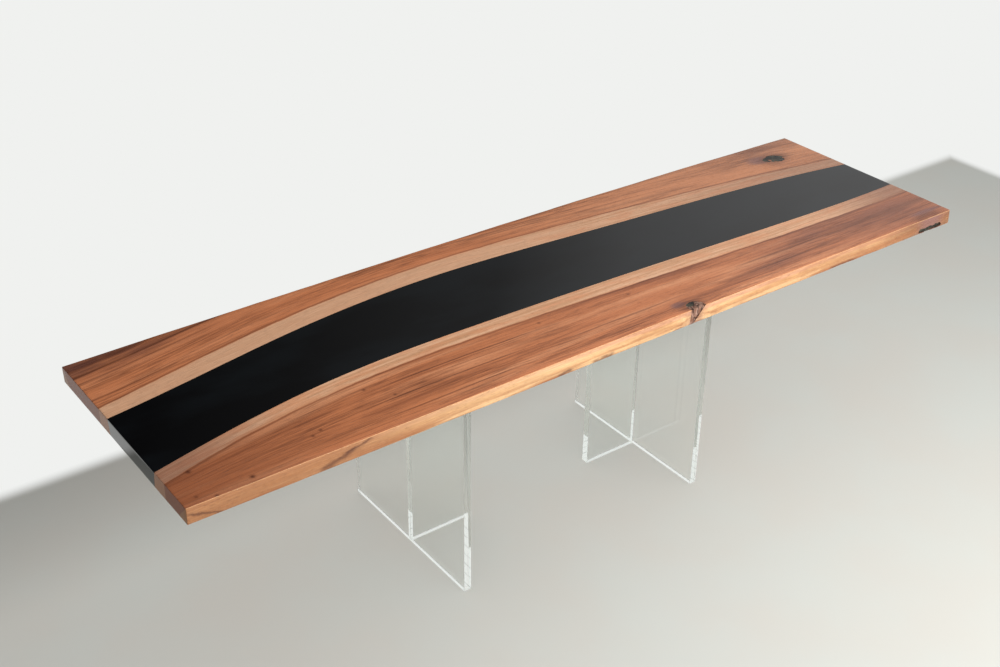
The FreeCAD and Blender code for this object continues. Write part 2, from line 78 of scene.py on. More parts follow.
# Shares of the top's length and width that place the control points of its long lines
ALONG_SHARES = (0, 0.07, 0.2, 0.4, 0.6, 0.8, 0.93, 1)
FRONT_EDGE_SHARES = (0, 0, 0, 0.004, 0.0065, 0.003, 0.003, 0.002)
FRONT_HEART_SHARES = (0.152, 0.231, 0.324, 0.316, 0.282, 0.249, 0.237, 0.245)
RIVER_FRONT_SHARES = (0.223, 0.289, 0.393, 0.382, 0.366, 0.331, 0.317, 0.328)
RIVER_BACK_SHARES = (0.586, 0.623, 0.739, 0.809, 0.739, 0.695, 0.641, 0.595)
BACK_HEART_SHARES = (0.657, 0.713, 0.832, 0.905, 0.848, 0.777, 0.712, 0.666)
BACK_EDGE_SHARES = (0.98, 0.985, 0.993, 1, 1, 0.993, 0.981, 0.973)
LINE_ORDER = 4
LINE_STEPS = 40

# How far the river's walls lean from the top face to the under face, towards the back
RIVER_FRONT_LEAN = 0.008
RIVER_BACK_LEAN = -0.008

# Depth of a live edge's widest line, as a share of the thickness
WIDEST_SHARE = 0.35

# Steps of the grids that the slabs and the river are drawn from
ALONG_STEPS = 360
ACROSS_STEPS = 10
DEPTH_STEPS = 8
HALF = 0.5
SNUG = 1e-4

# Edges that turn by more than this stay sharp
SMOOTH_ANGLE = math.radians(35)

# Sides of a round hole, and how far apart the points of one small fitting may lie
HOLE_SIDES = 32
FITTING_REACH = 0.03

# The side of the studio that looks bright in reflections, and the levels from the dark side to that one
BRIGHT_SIDE = (0.6, -0.8, 0.0)
REFLECTED_LEVELS = (
    (0, 0.01),
    (0.27, 0.012),
    (0.31, 0.045),
    (0.375, 0.15),
    (0.42, 0.44),
    (0.48, 0.6),
    (1, 1),
)

# How the values of a screen turn into light
FULL_LEVEL = 255
DARK_LIMIT = 0.04045
DARK_SLOPE = 12.92
LIFT = 0.055
GAMMA = 2.4


def screen(red, green, blue):
    """A colour as a screen shows it, from 0 to 255, in the linear values that a shader takes."""
    shares = (value / FULL_LEVEL for value in (red, green, blue))
    return tuple(
        share / DARK_SLOPE if share <= DARK_LIMIT else ((share + LIFT) / (1 + LIFT)) ** GAMMA
        for share in shares
    )


def colour(name, description, *values):
    """A colour property with a default given as a screen shows it."""
    return FloatVectorProperty(
        name=name, description=description, subtype="COLOR", size=3, min=0, max=1, default=screen(*values)
    )


def number(name, description, default, **settings):
    """A number property."""
    return FloatProperty(name=name, description=description, default=default, **settings)


def length(name, description, default):
    """A length property in metres."""
    return number(name, description, default, min=0, precision=4, unit="LENGTH")


def angle(name, description, degrees):
    """An angle property with a default in degrees."""
    return number(name, description, math.radians(degrees), subtype="ANGLE")


def spot(name, description, *place):
    """A property for a place in the studio."""
    return FloatVectorProperty(name=name, description=description, subtype="TRANSLATION", default=place)


class TableSizes(bpy.types.PropertyGroup):
    """Small sizes of the finish, which the solids leave plain."""

    arris: length("Top arris", "Rounding of the top's outer arrises", 0.0016)
    arris_steps: IntProperty(name="Arris steps", description="Facets of a rounded arris", default=3, min=1)
    ripple: length("Live edge ripple", "How far the live edges swell and sink", 0.0018)
    top_wane: length("Top wane", "How far a live edge draws in at the top face", 0.0006)
    under_wane: length("Under wane", "How far a live edge draws in at the under face", 0.0006)
    knot_relief: length("Knot relief", "Depth of the bark's ridges in the knots", 0.004)
    knot_grain: length("Knot grain", "Size of the bark's ridges in the knots", 0.009)
    knot_lobe: length("Knot lobes", "Size of the lobes of a knot's outline", 0.03)
    knot_swell: length("Knot swell", "How far the lobes of a knot's outline swell and sink", 0.016)
    knot_voxel: length("Knot voxel", "Size of the facets of the knots", 0.0013)
    knot_tip: length("Knot tip", "Radius of the front knot at the under face", 0.009)
    knot_lean: length("Knot lean", "How far the front knot's tip lies left of its mouth", 0.015)
    knot_slip: length("Knot slip", "How far the front knot's mouth lies right of its middle", 0.009)
    knot_inset: length("Knot inset", "Front edge to the middle of the front knot's mouth", 0.016)
    pocket_sag: length("Pocket sag", "How far the bark pocket hangs towards the under face", 0.004)
    knot_recess: length("Knot recess", "How far the bark lies behind the live edge", 0.004)
    knot_drop: length("Knot drop", "How far the fillings lie below the faces of the top", 0.0003)
    acrylic_arris: length("Acrylic arris", "Scraped arris of the acrylic sheets", 0.0006)
    plate_corner: length("Plate corner", "Corner radius of the mounting plates", 0.012)
    plate_hole: length("Plate hole", "Diameter of the screw holes in the mounting plates", 0.0072)
    air_gap: length("Air gap", "Film of air where clear pieces touch others", 0.00015)
    channel_gap: length("Channel gap", "Room round a channel in its groove", 0.0005)


class TableColours(bpy.types.PropertyGroup):
    """Colours of the finishes."""

    heart_dark: colour("Heartwood, dark", "Dark bands of the heartwood", 142, 82, 52)
    heart: colour("Heartwood", "Main tone of the heartwood", 188, 116, 75)
    heart_light: colour("Heartwood, light", "Light bands of the heartwood", 210, 144, 103)
    heart_warm: colour("Heartwood, warm", "Orange heartwood of the back slab", 214, 130, 84)
    heart_ripe: colour("Heartwood, ripe", "Purple brown patches of the heartwood", 118, 76, 64)
    heart_line: colour("Heartwood, line", "Dark growth lines and pin knots", 78, 40, 26)
    sap: colour("Sapwood", "Pale wood along the river", 196, 146, 108)
    sap_light: colour("Sapwood, light", "Light streaks of the sapwood", 220, 172, 136)
    # Low in the live edges this orange also paints the shade of the face turning under
    edge_dark: colour("Live edge, dark", "Orange wood low in the live edges", 150, 97, 60)
    edge: colour("Live edge", "Golden wood of the live edges", 190, 141, 92)
    edge_light: colour("Live edge, light", "Light streaks of the live edges", 209, 168, 122)
    edge_upper: colour("Live edge, upper", "Pink wood just below the top face", 192, 142, 114)
    bark: colour("Bark", "Grey brown bark in the knots", 112, 78, 62)
    bark_light: colour("Bark, light", "Grey ridges of the bark in the knots", 150, 120, 106)
    bark_dark: colour("Bark, dark", "Cracks and shadowed bark in the knots", 52, 34, 28)
    knot_shade: colour("Knot shade", "Purple grey wood beside the knots", 122, 86, 82)
    knot_haze: colour("Knot resin, haze", "Grey green clouds in the knots' resin", 70, 66, 53)
    knot_resin: colour("Knot resin", "Greenish black filling of the knots", 28, 26, 22)
    resin: colour("River resin", "Black resin of the river", 7, 7, 8)
    acrylic: colour("Acrylic", "Clear acrylic sheet", 252, 254, 253)
    acrylic_edge: colour("Acrylic edge", "Narrow edges of the acrylic", 246, 249, 246)
    acrylic_arris: colour("Acrylic arris", "Scraped arrises of the acrylic", 226, 230, 225)
    coating: colour("Channel coating", "Black powder coating of the channels", 34, 34, 35)
    steel: colour("Stainless steel", "Screws and washers", 190, 190, 188)
    brass: colour("Brass", "Threaded inserts", 214, 172, 96)
    floor: colour("Floor", "Pale floor under the table", 195, 197, 191)
    backdrop: colour("Backdrop", "White ground behind the table", 240, 241, 239)


class TableStage(bpy.types.PropertyGroup):
    """Camera and light."""

    camera_place: spot("Camera", "Place of the camera", -2.309, -2.8315, 2.733)
    camera_yaw: angle("Yaw", "Turn of the camera from +Y to +X", 36.766)
    camera_pitch: angle("Pitch", "How far the camera looks down", 30.646)
    camera_roll: angle("Roll", "Tilt of the camera", 0.723)
    lens: number("Lens", "Focal length in millimetres", 49.99)
    sensor: number("Sensor", "Width of the picture in millimetres", 36)
    backdrop_line: length("Backdrop line", "Where the floor turns white behind the table", 0.96)
    backdrop_fade: length("Backdrop fade", "Half the width of the turn from floor to white", 0.04)
    side_line: length("Side line", "Where the floor turns white at the right", 3.3)
    floor_size: length("Floor size", "Side of the square floor", 40)
    ambient: number("Ambient", "Level of the even light from all round", 0.42, min=0)
    key_power: number("Key lamp", "Power of the key lamp", 228, subtype="POWER")
    key_size: length("Key lamp size", "Diameter of the key lamp", 2.6)
    key_spread: angle("Key lamp spread", "Angle of the key lamp's light", 120)
    key_place: spot("Key lamp place", "Place of the key lamp", 1.6, -4.7, 3.2)


def long_line(across_shares):
    """The x and y lists of one long line of the top, a smooth spline over its control points."""
    curve = bpy.data.curves.new("long_line", "CURVE")
    curve.dimensions = "3D"
    spline = curve.splines.new("NURBS")
    spline.points.add(len(ALONG_SHARES) - 1)
    for point, along, across in zip(spline.points, ALONG_SHARES, across_shares):
        point.co = (CAD_LOW.x + along * TOP_LENGTH, CAD_LOW.y + across * TOP_WIDTH, 0, 1)
    spline.order_u = LINE_ORDER
    spline.use_endpoint_u = True
    spline.resolution_u = LINE_STEPS
    holder = bpy.data.objects.new("long_line", curve)
    mesh = bpy.data.meshes.new_from_object(holder)
    points = np.array([vertex.co[:] for vertex in mesh.vertices])
    bpy.data.objects.remove(holder)
    bpy.data.curves.remove(curve)
    bpy.data.meshes.remove(mesh)
    return points[:, 0], points[:, 1]


FRONT_EDGE = long_line(FRONT_EDGE_SHARES)
FRONT_HEART = long_line(FRONT_HEART_SHARES)
RIVER_FRONT = long_line(RIVER_FRONT_SHARES)
RIVER_BACK = long_line(RIVER_BACK_SHARES)
BACK_HEART = long_line(BACK_HEART_SHARES)
BACK_EDGE = long_line(BACK_EDGE_SHARES)


def across_at(line, x):
    """The y of a long line at x."""
    return np.interp(x, *line)


# Modelling helpers


def deselect_all():
    """Leave nothing selected, in object mode."""
    if bpy.context.object and bpy.context.object.mode != "OBJECT":
        bpy.ops.object.mode_set(mode="OBJECT")
    bpy.ops.object.select_all(action="DESELECT")


def activate(piece):
    """Select one piece and make it the active one."""
    deselect_all()
    piece.select_set(True)
    bpy.context.view_layer.objects.active = piece


def named(name):
    """Name the object that was just added."""
    piece = bpy.context.object
    piece.name = name
    piece.data.name = name
    return piece


def settle(piece):
    """Move a piece's place, turn and scale into its mesh."""
    activate(piece)
    bpy.ops.object.transform_apply(location=True, rotation=True, scale=True)
    return piece


def block(name, low, high):
    """A box between two corners, to be shaped further or used as a cutter."""
    deselect_all()
    bpy.ops.mesh.primitive_cube_add(size=1, calc_uvs=False, location=(Vector(low) + Vector(high)) / 2)
    piece = named(name)
    piece.scale = Vector(high) - Vector(low)
    return settle(piece)


def pick_edges(piece, wanted):
    """Select the edges whose two end points pass the test, and nothing else."""
    mesh = piece.data
    places = [vertex.co for vertex in mesh.vertices]
    for part in (mesh.vertices, mesh.polygons):
        part.foreach_set("select", np.zeros(len(part), bool))
    chosen = [wanted(places[edge.vertices[0]], places[edge.vertices[1]]) for edge in mesh.edges]
    mesh.edges.foreach_set("select", chosen)


def round_picked_edges(piece, radius, steps):
    """Round the selected edges of a piece."""
    activate(piece)
    bpy.context.tool_settings.mesh_select_mode = (False, True, False)
    bpy.ops.object.mode_set(mode="EDIT")
    bpy.ops.mesh.bevel(offset=radius, offset_type="OFFSET", segments=steps, profile=HALF, affect="EDGES")
    bpy.ops.object.mode_set(mode="OBJECT")


def join(pieces):
    """Join pieces into the first of them."""
    activate(pieces[0])
    for piece in pieces:
        piece.select_set(True)
    bpy.ops.object.join()
    return pieces[0]


def finish_modifier(piece, modifier):
    """Apply a modifier that was just set up."""
    activate(piece)
    bpy.ops.object.modifier_apply(modifier=modifier.name)


def cut(piece, cutter):
    """Cut a closed shape out of a piece, which keeps its length, and drop the shape."""
    bpy.context.view_layer.update()
    length_before = piece.dimensions.x
    modifier = piece.modifiers.new("cut", "BOOLEAN")
    modifier.operation = "DIFFERENCE"
    modifier.solver = "EXACT"
    modifier.object = cutter
    finish_modifier(piece, modifier)
    bpy.data.objects.remove(cutter)
    bpy.context.view_layer.update()
    if abs(piece.dimensions.x - length_before) > SNUG:
        raise RuntimeError(f"A cut in {piece.name} went wrong")


def smooth(piece):
    """Smooth shading, with sharp edges kept."""
    activate(piece)
    bpy.ops.object.shade_smooth_by_angle(angle=SMOOTH_ANGLE)


def hole(name, low, high, radius, depth, height):
    """A closed cylinder that stands over the middle of a box, half above and half below a height."""
    deselect_all()
    bpy.ops.mesh.primitive_cylinder_add(
        vertices=HOLE_SIDES,
        radius=radius,
        depth=depth,
        location=((low.x + high.x) / 2, (low.y + high.y) / 2, height),
        calc_uvs=False,
    )
    return settle(named(name))


def dress(piece, slot, *finishes):
    """Give a new piece its finishes and its place on the body."""
    for finish in finishes:
        piece.data.materials.append(finish)
    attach(piece, "root")


# Shader helpers


def new_finish(name):
    """A material with a plain surface shader, and its node tree."""
    finish = bpy.data.materials.new(name)
    finish.use_nodes = True
    tree = finish.node_tree
    tree.nodes.clear()
    surface = tree.nodes.new("ShaderNodeBsdfPrincipled")
    output = tree.nodes.new("ShaderNodeOutputMaterial")
    tree.links.new(surface.outputs["BSDF"], output.inputs["Surface"])
    return finish, tree, surface


def feed(socket, value):
    """Link a socket to another one, or set its value."""
    if isinstance(value, bpy.types.NodeSocket):
        socket.id_data.links.new(value, socket)
    elif socket.type == "RGBA" and len(value) == 3:
        socket.default_value = (*value, 1)
    else:
        socket.default_value = value


def coat(surface, tone, roughness, **others):
    """Give a surface its tone, its roughness and other inputs."""
    for key, value in {"Base Color": tone, "Roughness": roughness, **others}.items():
        feed(surface.inputs[key], value)


def add(tree, kind, inputs=None, **settings):
    """A node with its settings and inputs."""
    made = tree.nodes.new(kind)
    for key, value in settings.items():
        setattr(made, key, value)
    for key, value in (inputs or {}).items():
        feed(made.inputs[key], value)
    return made


def derive(kind, inputs, **settings):
    """A node in the tree of those that feed it."""
    tree = next(value.id_data for value in inputs.values() if isinstance(value, bpy.types.NodeSocket))
    return add(tree, kind, inputs, **settings)


def calc(operation, *values):
    """The result of a sum on numbers."""
    return derive("ShaderNodeMath", dict(enumerate(values)), operation=operation).outputs[0]


def split(vector):
    """The three parts of a vector."""
    return derive("ShaderNodeSeparateXYZ", {0: vector}).outputs[:]


def stack(x, y, z):
    """A vector from three numbers."""
    return derive("ShaderNodeCombineXYZ", {0: x, 1: y, 2: z}).outputs[0]


def cloud(place, scale, detail=2.0, rough=HALF):
    """Noise from 0 to 1 with its own scale along each axis."""
    place = derive("ShaderNodeMapping", {"Vector": place, "Scale": scale}).outputs[0]
    inputs = {"Vector": place, "Scale": 1.0, "Detail": detail, "Roughness": rough}
    return derive("ShaderNodeTexNoise", inputs).outputs["Fac"]


def step(value, start, end, low=0.0, high=1.0):
    """A smooth step from low to high as a number goes from start to end."""
    inputs = {"Value": value, "From Min": start, "From Max": end, "To Min": low, "To Max": high}
    return derive("ShaderNodeMapRange", inputs, interpolation_type="SMOOTHSTEP").outputs[0]


# Sockets of a mix node: the factor, and two colours or two numbers
MIX_COLOURS = (0, 6, 7)
MIX_NUMBERS = (0, 2, 3)


def mix(factor, first, second, mode="MIX"):
    """Two colours mixed by a factor."""
    inputs = dict(zip(MIX_COLOURS, (factor, first, second)))
    return derive("ShaderNodeMix", inputs, data_type="RGBA", blend_type=mode).outputs[2]


def mix_value(factor, first, second):
    """Two numbers mixed by a factor."""
    inputs = dict(zip(MIX_NUMBERS, (factor, first, second)))
    return derive("ShaderNodeMix", inputs, data_type="FLOAT").outputs[0]


def bump(height, strength, distance):
    """A normal that follows a height."""
    inputs = {"Height": height, "Strength": strength, "Distance": distance}
    return derive("ShaderNodeBump", inputs).outputs[0]


def object_place(tree):
    """The place on the piece, in metres."""
    return add(tree, "ShaderNodeTexCoord").outputs["Object"]


def uv_place(tree, layer):
    """The place on one of the piece's own maps."""
    return add(tree, "ShaderNodeUVMap", uv_map=layer).outputs[0]


def bell(value, centre, width):
    """A hump that is 1 where a number meets the centre and falls off over the width."""
    offset = calc("DIVIDE", calc("SUBTRACT", value, centre), width)
    return calc("EXPONENT", calc("MULTIPLY", calc("MULTIPLY", offset, offset), -1.0))


# The walnut slabs


@dataclass
class Knot:
    """A knot of a slab, drawn by a plug, with how far its figure reaches along and across the grain.

    Its tail is a dark patch of figure beside it: how far it lies along and across, and its own reach.
    Its pool is where resin covers the bark, given in the same way, with the depths below the top face
    between which the resin begins.
    """

    node: str
    plug: object
    reach: tuple
    tail: tuple
    tail_reach: tuple
    pool: tuple
    pool_reach: tuple
    pool_depths: tuple

    def __post_init__(self):
        self.low, self.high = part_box(self.node)
        self.x = (self.low.x + self.high.x) / 2
        self.y = (self.low.y + self.high.y) / 2
        self.tail = (self.x + self.tail[0], self.y + self.tail[1])
        self.pool = (self.x + self.pool[0], self.y + self.pool[1])


@dataclass
class Slab:
    """The lines and the figure of one walnut slab. Its side is 1 where the river lies towards the back.

    Its spread is the width that its grain keeps while it fans out to a straight edge, or 0 if it doesn't.
    """

    name: str
    side: int
    edge: tuple
    river: tuple
    river_lean: float
    heart: tuple
    spread: float
    knots: tuple
    streaks: tuple
    tones: tuple
    sap_tones_and_sheen: tuple
    patches: tuple
    pins: tuple = ()
    cracks: tuple = ()

    def live_wall(self, x, down):
        """The y of the live edge at places along the top and depths from 0, the top face, to 1."""
        sizes = bpy.context.scene.table_sizes
        above = np.clip(1 - down / WIDEST_SHARE, 0, None)
        below = np.clip((down - WIDEST_SHARE) / (1 - WIDEST_SHARE), 0, None)
        wane = sizes.top_wane * above**2 + sizes.under_wane * below**2
        swell = np.array([edge_swell(*place, self.side) for place in zip(x, down)])
        wall = across_at(self.edge, x) + self.side * (wane + sizes.ripple * swell)
        return np.clip(wall, CAD_LOW.y, CAD_HIGH.y)

    def river_wall(self, x, down):
        """The y of the river's wall at places along the top and depths from 0 to 1."""
        return across_at(self.river, x) + self.river_lean * down

    def inward(self, points):
        """How far points lie in from the live edge."""
        return self.side * (points[:, 1] - across_at(self.edge, points[:, 0]))

    def width(self, points):
        """The slab's width at points, at the top face."""
        return self.side * (across_at(self.river, points[:, 0]) - across_at(self.edge, points[:, 0]))

    def flow(self, points):
        """Along and across the grain, which keeps to the river and may fan out to the straight edge."""
        across = self.width(points) - self.inward(points)
        if self.spread:
            across = across / self.width(points) * self.spread
        along = points[:, 0] + (BACK_SHIFT if self.side < 0 else 0)
        return np.column_stack((along, across))

    def zone(self, points):
        """How far points lie in the river's sapwood, and in the heartwood seen from the live edge."""
        in_sap = self.side * (points[:, 1] - across_at(self.heart, points[:, 0]))
        return np.column_stack((in_sap, self.inward(points) - (TOP_FACE - points[:, 2])))

    def grain_across(self, x, y):
        """The across value of the grain at one place."""
        return float(self.flow(np.array([[x, y, TOP_FACE]]))[0, 1])


def edge_swell(x, down, seed):
    """How far a live edge sinks in, in ripples. Below 0 it swells out."""
    slow = noise.noise(Vector((x * SLOW_SWELL, down, seed)))
    quick = noise.noise(Vector((x * QUICK_SWELL, down * QUICK_SWELL_DOWN, seed)))
    return REST_SWELL_SHARE + slow + QUICK_SWELL_SHARE * quick


def leaning_cone(name, foot, mouth, foot_radius, mouth_radius):
    """A closed cone from its foot to its mouth, whose middles need not be above each other."""
    deselect_all()
    bpy.ops.mesh.primitive_cone_add(
        vertices=KNOT_SIDES,
        radius1=foot_radius,
        radius2=mouth_radius,
        depth=mouth.z - foot.z,
        location=(foot.x, foot.y, (foot.z + mouth.z) / 2),
        calc_uvs=False,
    )
    piece = settle(named(name))
    bpy.ops.object.mode_set(mode="EDIT")
    bpy.ops.mesh.select_all(action="DESELECT")
    bpy.ops.object.mode_set(mode="OBJECT")
    for vertex in piece.data.vertices:
        vertex.select = abs(vertex.co.z - mouth.z) < SNUG
    bpy.ops.object.mode_set(mode="EDIT")
    bpy.ops.transform.translate(value=(mouth.x - foot.x, mouth.y - foot.y, 0))
    bpy.ops.object.mode_set(mode="OBJECT")
    return piece


def front_knot_plug(knot):
    """The cleft of the front knot: wide at the top face, a narrow tip at the under face."""
    sizes = bpy.context.scene.table_sizes
    tip = sizes.knot_tip
    radius = (knot.high.x - knot.low.x) / 2
    foot = Vector((knot.x - sizes.knot_lean, CAD_LOW.y + tip, UNDER_FACE))
    radius *= KNOT_MOUTH_SHARE
    mouth = Vector((knot.x + sizes.knot_slip, CAD_LOW.y + sizes.knot_inset, TOP_FACE))
    past = (mouth - foot) * KNOT_PAST_SHARE
    wider = (radius - tip) * KNOT_PAST_SHARE
    return leaning_cone("front_knot_plug", foot - past, mouth + past, tip - wider, radius + wider)


def back_knot_plug(knot):
    """The oval hollow of the back knot."""
    size = knot.high - knot.low
    foot = Vector((0, 0, knot.low.z))
    mouth = Vector((0, 0, knot.high.z + size.z * KNOT_PAST_SHARE))
    piece = leaning_cone("back_knot_plug", foot, mouth, HALF * KNOT_FLOOR_SHARE, HALF)
    piece.scale = (size.x * BACK_KNOT_LENGTH_SHARE, size.y * BACK_KNOT_WIDTH_SHARE, 1)
    piece.rotation_euler = (0, 0, BACK_KNOT_TURN)
    piece.location = (knot.x, knot.y, 0)
    return settle(piece)


def pocket_plug(knot):
    """The long hollow of the bark pocket in the front edge."""
    size = knot.high - knot.low
    deselect_all()
    bpy.ops.mesh.primitive_uv_sphere_add(
        segments=KNOT_SIDES, ring_count=KNOT_SIDES // 2, radius=HALF, calc_uvs=False
    )
    piece = named("pocket_plug")
    piece.scale = (size.x, 2 * (knot.high.y - CAD_LOW.y), size.z)
    sag = bpy.context.scene.table_sizes.pocket_sag
    piece.location = (knot.x, CAD_LOW.y, (knot.low.z + knot.high.z) / 2 - sag)
    return settle(piece)


def even_facets(piece, facet):
    """Build the skin of a closed piece anew, from even facets that don't cross each other."""
    modifier = piece.modifiers.new("facets", "REMESH")
    modifier.mode = "VOXEL"
    modifier.voxel_size = facet
    finish_modifier(piece, modifier)
    return piece


def weather(piece, name, facet, grain, relief):
    """Cut a closed piece into even facets and raise uneven ridges on it."""
    even_facets(piece, facet)
    ridges = bpy.data.textures.get(name) or bpy.data.textures.new(name, "CLOUDS")
    ridges.noise_scale = grain
    modifier = piece.modifiers.new("ridges", "DISPLACE")
    modifier.texture = ridges
    modifier.strength = relief
    finish_modifier(piece, modifier)
    return piece


def hollow(knot):
    """The shape of a knot's hollow, with its uneven outline."""
    sizes = bpy.context.scene.table_sizes
    facet = LOBE_FACETS * sizes.knot_voxel
    return weather(knot.plug(knot), "knot_lobes", facet, sizes.knot_lobe, sizes.knot_swell)


def roughen(piece):
    """Give a closed piece the ridges and hollows of bark."""
    sizes = bpy.context.scene.table_sizes
    return weather(piece, "bark_ridges", sizes.knot_voxel, sizes.knot_grain, sizes.knot_relief)


def split_faces(piece, place, across, **options):
    """Cut the faces of a piece along a plane, and leave it whole if no option says more."""
    activate(piece)
    bpy.ops.object.mode_set(mode="EDIT")
    bpy.ops.mesh.select_all(action="SELECT")
    bpy.ops.mesh.bisect(plane_co=place, plane_no=across, **options)
    bpy.ops.object.mode_set(mode="OBJECT")


def trim(piece, place, outward):
    """Cut a closed piece off at a plane and close it again."""
    split_faces(piece, place, outward, use_fill=True, clear_outer=True)


# Live edges: slow and quick waves per metre, quick waves down the edge, their share, how far in it rests
SLOW_SWELL = 4
QUICK_SWELL = 16
QUICK_SWELL_DOWN = 2
QUICK_SWELL_SHARE = 0.45
REST_SWELL_SHARE = 0.35

# Shape of the knots: sides of a plug, and the size of a lobe's facets in those of the bark. Shares of the
# solids' sizes tell how far a plug runs past the faces, and its floor, mouth, length and width
KNOT_SIDES = 48
LOBE_FACETS = 2
KNOT_PAST_SHARE = 0.15
KNOT_FLOOR_SHARE = 0.6
KNOT_MOUTH_SHARE = 0.95
BACK_KNOT_LENGTH_SHARE = 1.1
BACK_KNOT_WIDTH_SHARE = 0.85
BACK_KNOT_TURN = math.radians(-18)

# The range that most of a noise lies in, and a wider one for roughness
MAIN_RANGE = (0.3, 0.7)
DULL_RANGE = (0.2, 0.8)

# Figure of the walnut. A noise scale gives waves per metre along the grain, across and through the slab
BACK_SHIFT = 5.0
WANDER_SCALE = (1.4, 5.0, 1.0)
WANDER = 0.016
KNOT_DRAW = 0.75
FIBRE_SCALE = (14.0, 800.0, 400.0)
FIBRE_DEPTH = 0.16
PORE_SCALE = (50.0, 1000.0, 700.0)
PORE_DETAIL = 1.0
PORE_RANGE = (0.6, 0.68)
PORE_DEPTH = 0.4
VEIN_SCALE = (2.4, 130.0, 70.0)
VEIN_DETAIL = 4.0
VEIN_RANGE = (0.35, 0.65)
BAND_SCALE = (1.5, 22.0, 22.0)
BAND_DETAIL = 4.0
DARK_BAND = (0.22, 0.46)
LIGHT_BAND = (0.48, 0.74)
BLOTCH_SCALE = (6.0, 30.0, 30.0)
BLOTCH_DETAIL = 3.0
BLOTCH_RANGE = (0.22, 0.55)

# Growth lines: rings per metre, the noises that sway them with their swing in rings, and their patches
RINGS = 62.0
RING_SWAYS = (((1.0, 16.0, 16.0), 3.0), ((3.5, 60.0, 60.0), 0.7))
RING_SHARPNESS = 5.0
RING_PATCH_SCALE = (2.6, 34.0, 34.0)
RING_PATCH = (0.42, 0.66)
RING_DEPTH = 0.52

# Short dark lines where a noise crosses its middle: scale, half width in the noise, depth, patch scale
SHORT_LINES = (
    ((3.2, 95.0, 80.0), 0.045, 0.48, (2.2, 14.0, 14.0)),
    ((6.0, 220.0, 160.0), 0.06, 0.4, (3.5, 40.0, 40.0)),
)
LINE_PATCH = (0.42, 0.62)

# Mottled sapwood: a pinker tone in soft spots
MOTTLE_SCALE = (9.0, 45.0, 45.0)
MOTTLE_RANGE = (0.42, 0.66)
MOTTLE_DEPTH = 0.6

# The turn from heartwood to sapwood: waves along it, their swing, its softness and the dark line beside it
SHORE_SCALE = (11.0, 1.0, 1.0)
SHORE_DETAIL = 4.0
SHORE_SWING = 0.01
SHORE_TURN = (-0.0018, 0.0018)
SHORE_LINE = (-0.005, 0.004, 0.5)

# Live edges: swing and softness of the upper limit, where the ends turn darker, and where the lower part
# turns darker in orange streaks that also paint the shade of the face turning under
RIM_SWING = 0.004
RIM_TURN = (0.001, -0.001)
# The light line along the live edges' top arris, lighter sanded wood with a painted highlight: its place,
# half width and depth
ARRIS_SANDING_AND_HIGHLIGHT = (0.0005, 0.0012, 0.55)
EDGE_TONES = (
    ("edge_light", -0.4, 0.0, 0.5, 0.0),
    ("edge_dark", -1.0, -0.5, 0.85, 0.0),
    ("edge_dark", 0.3, 1.3, 0.0, 0.7),
    ("heart_line", 1.0, 1.2, 0.0, 0.5),
)
EDGE_BAND = (0.009, 0.018)
EDGE_BAND_SWING = 0.012
EDGE_BAND_DEPTH = 0.75
EDGE_BLOTCH_SCALE = (14.0, 50.0, 50.0)
EDGE_BLOTCH_RANGE = (0.45, 0.7)
EDGE_BLOTCH_DEPTH = 0.4
CRACK_START = (-0.1, 0.15)
CRACK_END = (1.1, 0.85)
CRACK_WANDER_SCALE = (35.0, 1.0, 60.0)
CRACK_WANDER = 0.02
CRACK_DEPTH = 0.7
EDGE_FOOT_SHARES = (0.35, 0.95)
EDGE_FOOT_VEINS = (0.42, 0.58)

# Oil finish of the wood, how much duller it is in the pores, and the strength and depth of its relief
WOOD_ROUGHNESS = (0.2, 0.3)
PORE_ROUGHNESS = 0.3
WOOD_BUMP = (0.15, 0.0003)

# End grain: how far the rings bow and wobble, their scale, the pores, the turns between zones, the finish
END_BOW = 1.6
END_WOBBLE_SCALE = (1.0, 30.0, 30.0)
END_WOBBLE = 0.01
END_RING_SCALE = (260.0, 1.0, 1.0)
END_RING_RANGE = (0.35, 0.65)
END_PORE_SCALE = (1.0, 900.0, 900.0)
END_PORE_RANGE = (0.58, 0.68)
END_PORE_DEPTH = 0.5
END_SHADE = 0.5
END_TURN = (-0.002, 0.002)
END_ROUGHNESS = (0.3, 0.4)
END_SPECULAR = 0.25
END_BUMP = (0.1, 0.0003)

# Bark inside the knots: its noise, the turn from the painted shade of its hollows to its main tone, its
# roughness and its relief
BARK_NOISE = ((260.0, 260.0, 90.0), 4.0, 0.65)
BARK_SHADE_TURN = (0.38, 0.62)
BARK_ROUGHNESS = (0.6, 0.85)
BARK_BUMP = (0.6, 0.002)

# Knots: how far the halo and the tail darken the wood
HALO_RANGE = (0.15, 0.8)
HALO_DEPTH = 0.55
TAIL_RANGE = (0.2, 0.9)
TAIL_DEPTH = 0.75
EDGE_HALO_DEPTH = 0.75

# Dark streaks of the slabs: from and to along the top, place across the grain, half width and depth of tone
FRONT_STREAKS = (
    (-0.66, -0.3, 0.108, 0.002, 0.8),
    (-0.6, -0.35, 0.117, 0.0014, 0.6),
    (-0.72, -0.4, 0.166, 0.002, 0.75),
    (-0.7, -0.45, 0.226, 0.0018, 0.7),
    (-0.2, 0.2, 0.19, 0.0016, 0.5),
    (0.45, 0.8, 0.2, 0.004, 0.5),
    (0.6, 1.0, 0.15, 0.005, 0.45),
    (1.05, 1.4, 0.14, 0.016, 0.35),
    (1.16, 1.26, 0.213, 0.003, 0.7),
    (1.24, 1.4, 0.226, 0.003, 0.7),
    (1.28, 1.4, 0.19, 0.0025, 0.6),
)
BACK_STREAKS = (
    (-1.4, -0.95, 0.225, 0.006, 0.8),
    (-1.4, -1.15, 0.262, 0.02, 0.4),
    (-1.4, -1.0, 0.19, 0.004, 0.4),
    (-1.4, -1.2, 0.1, 0.004, 0.4),
    (-0.9, 0.2, 0.14, 0.002, 0.35),
    (0.45, 0.75, 0.105, 0.006, 0.35),
)
STREAK_FADE = 0.12
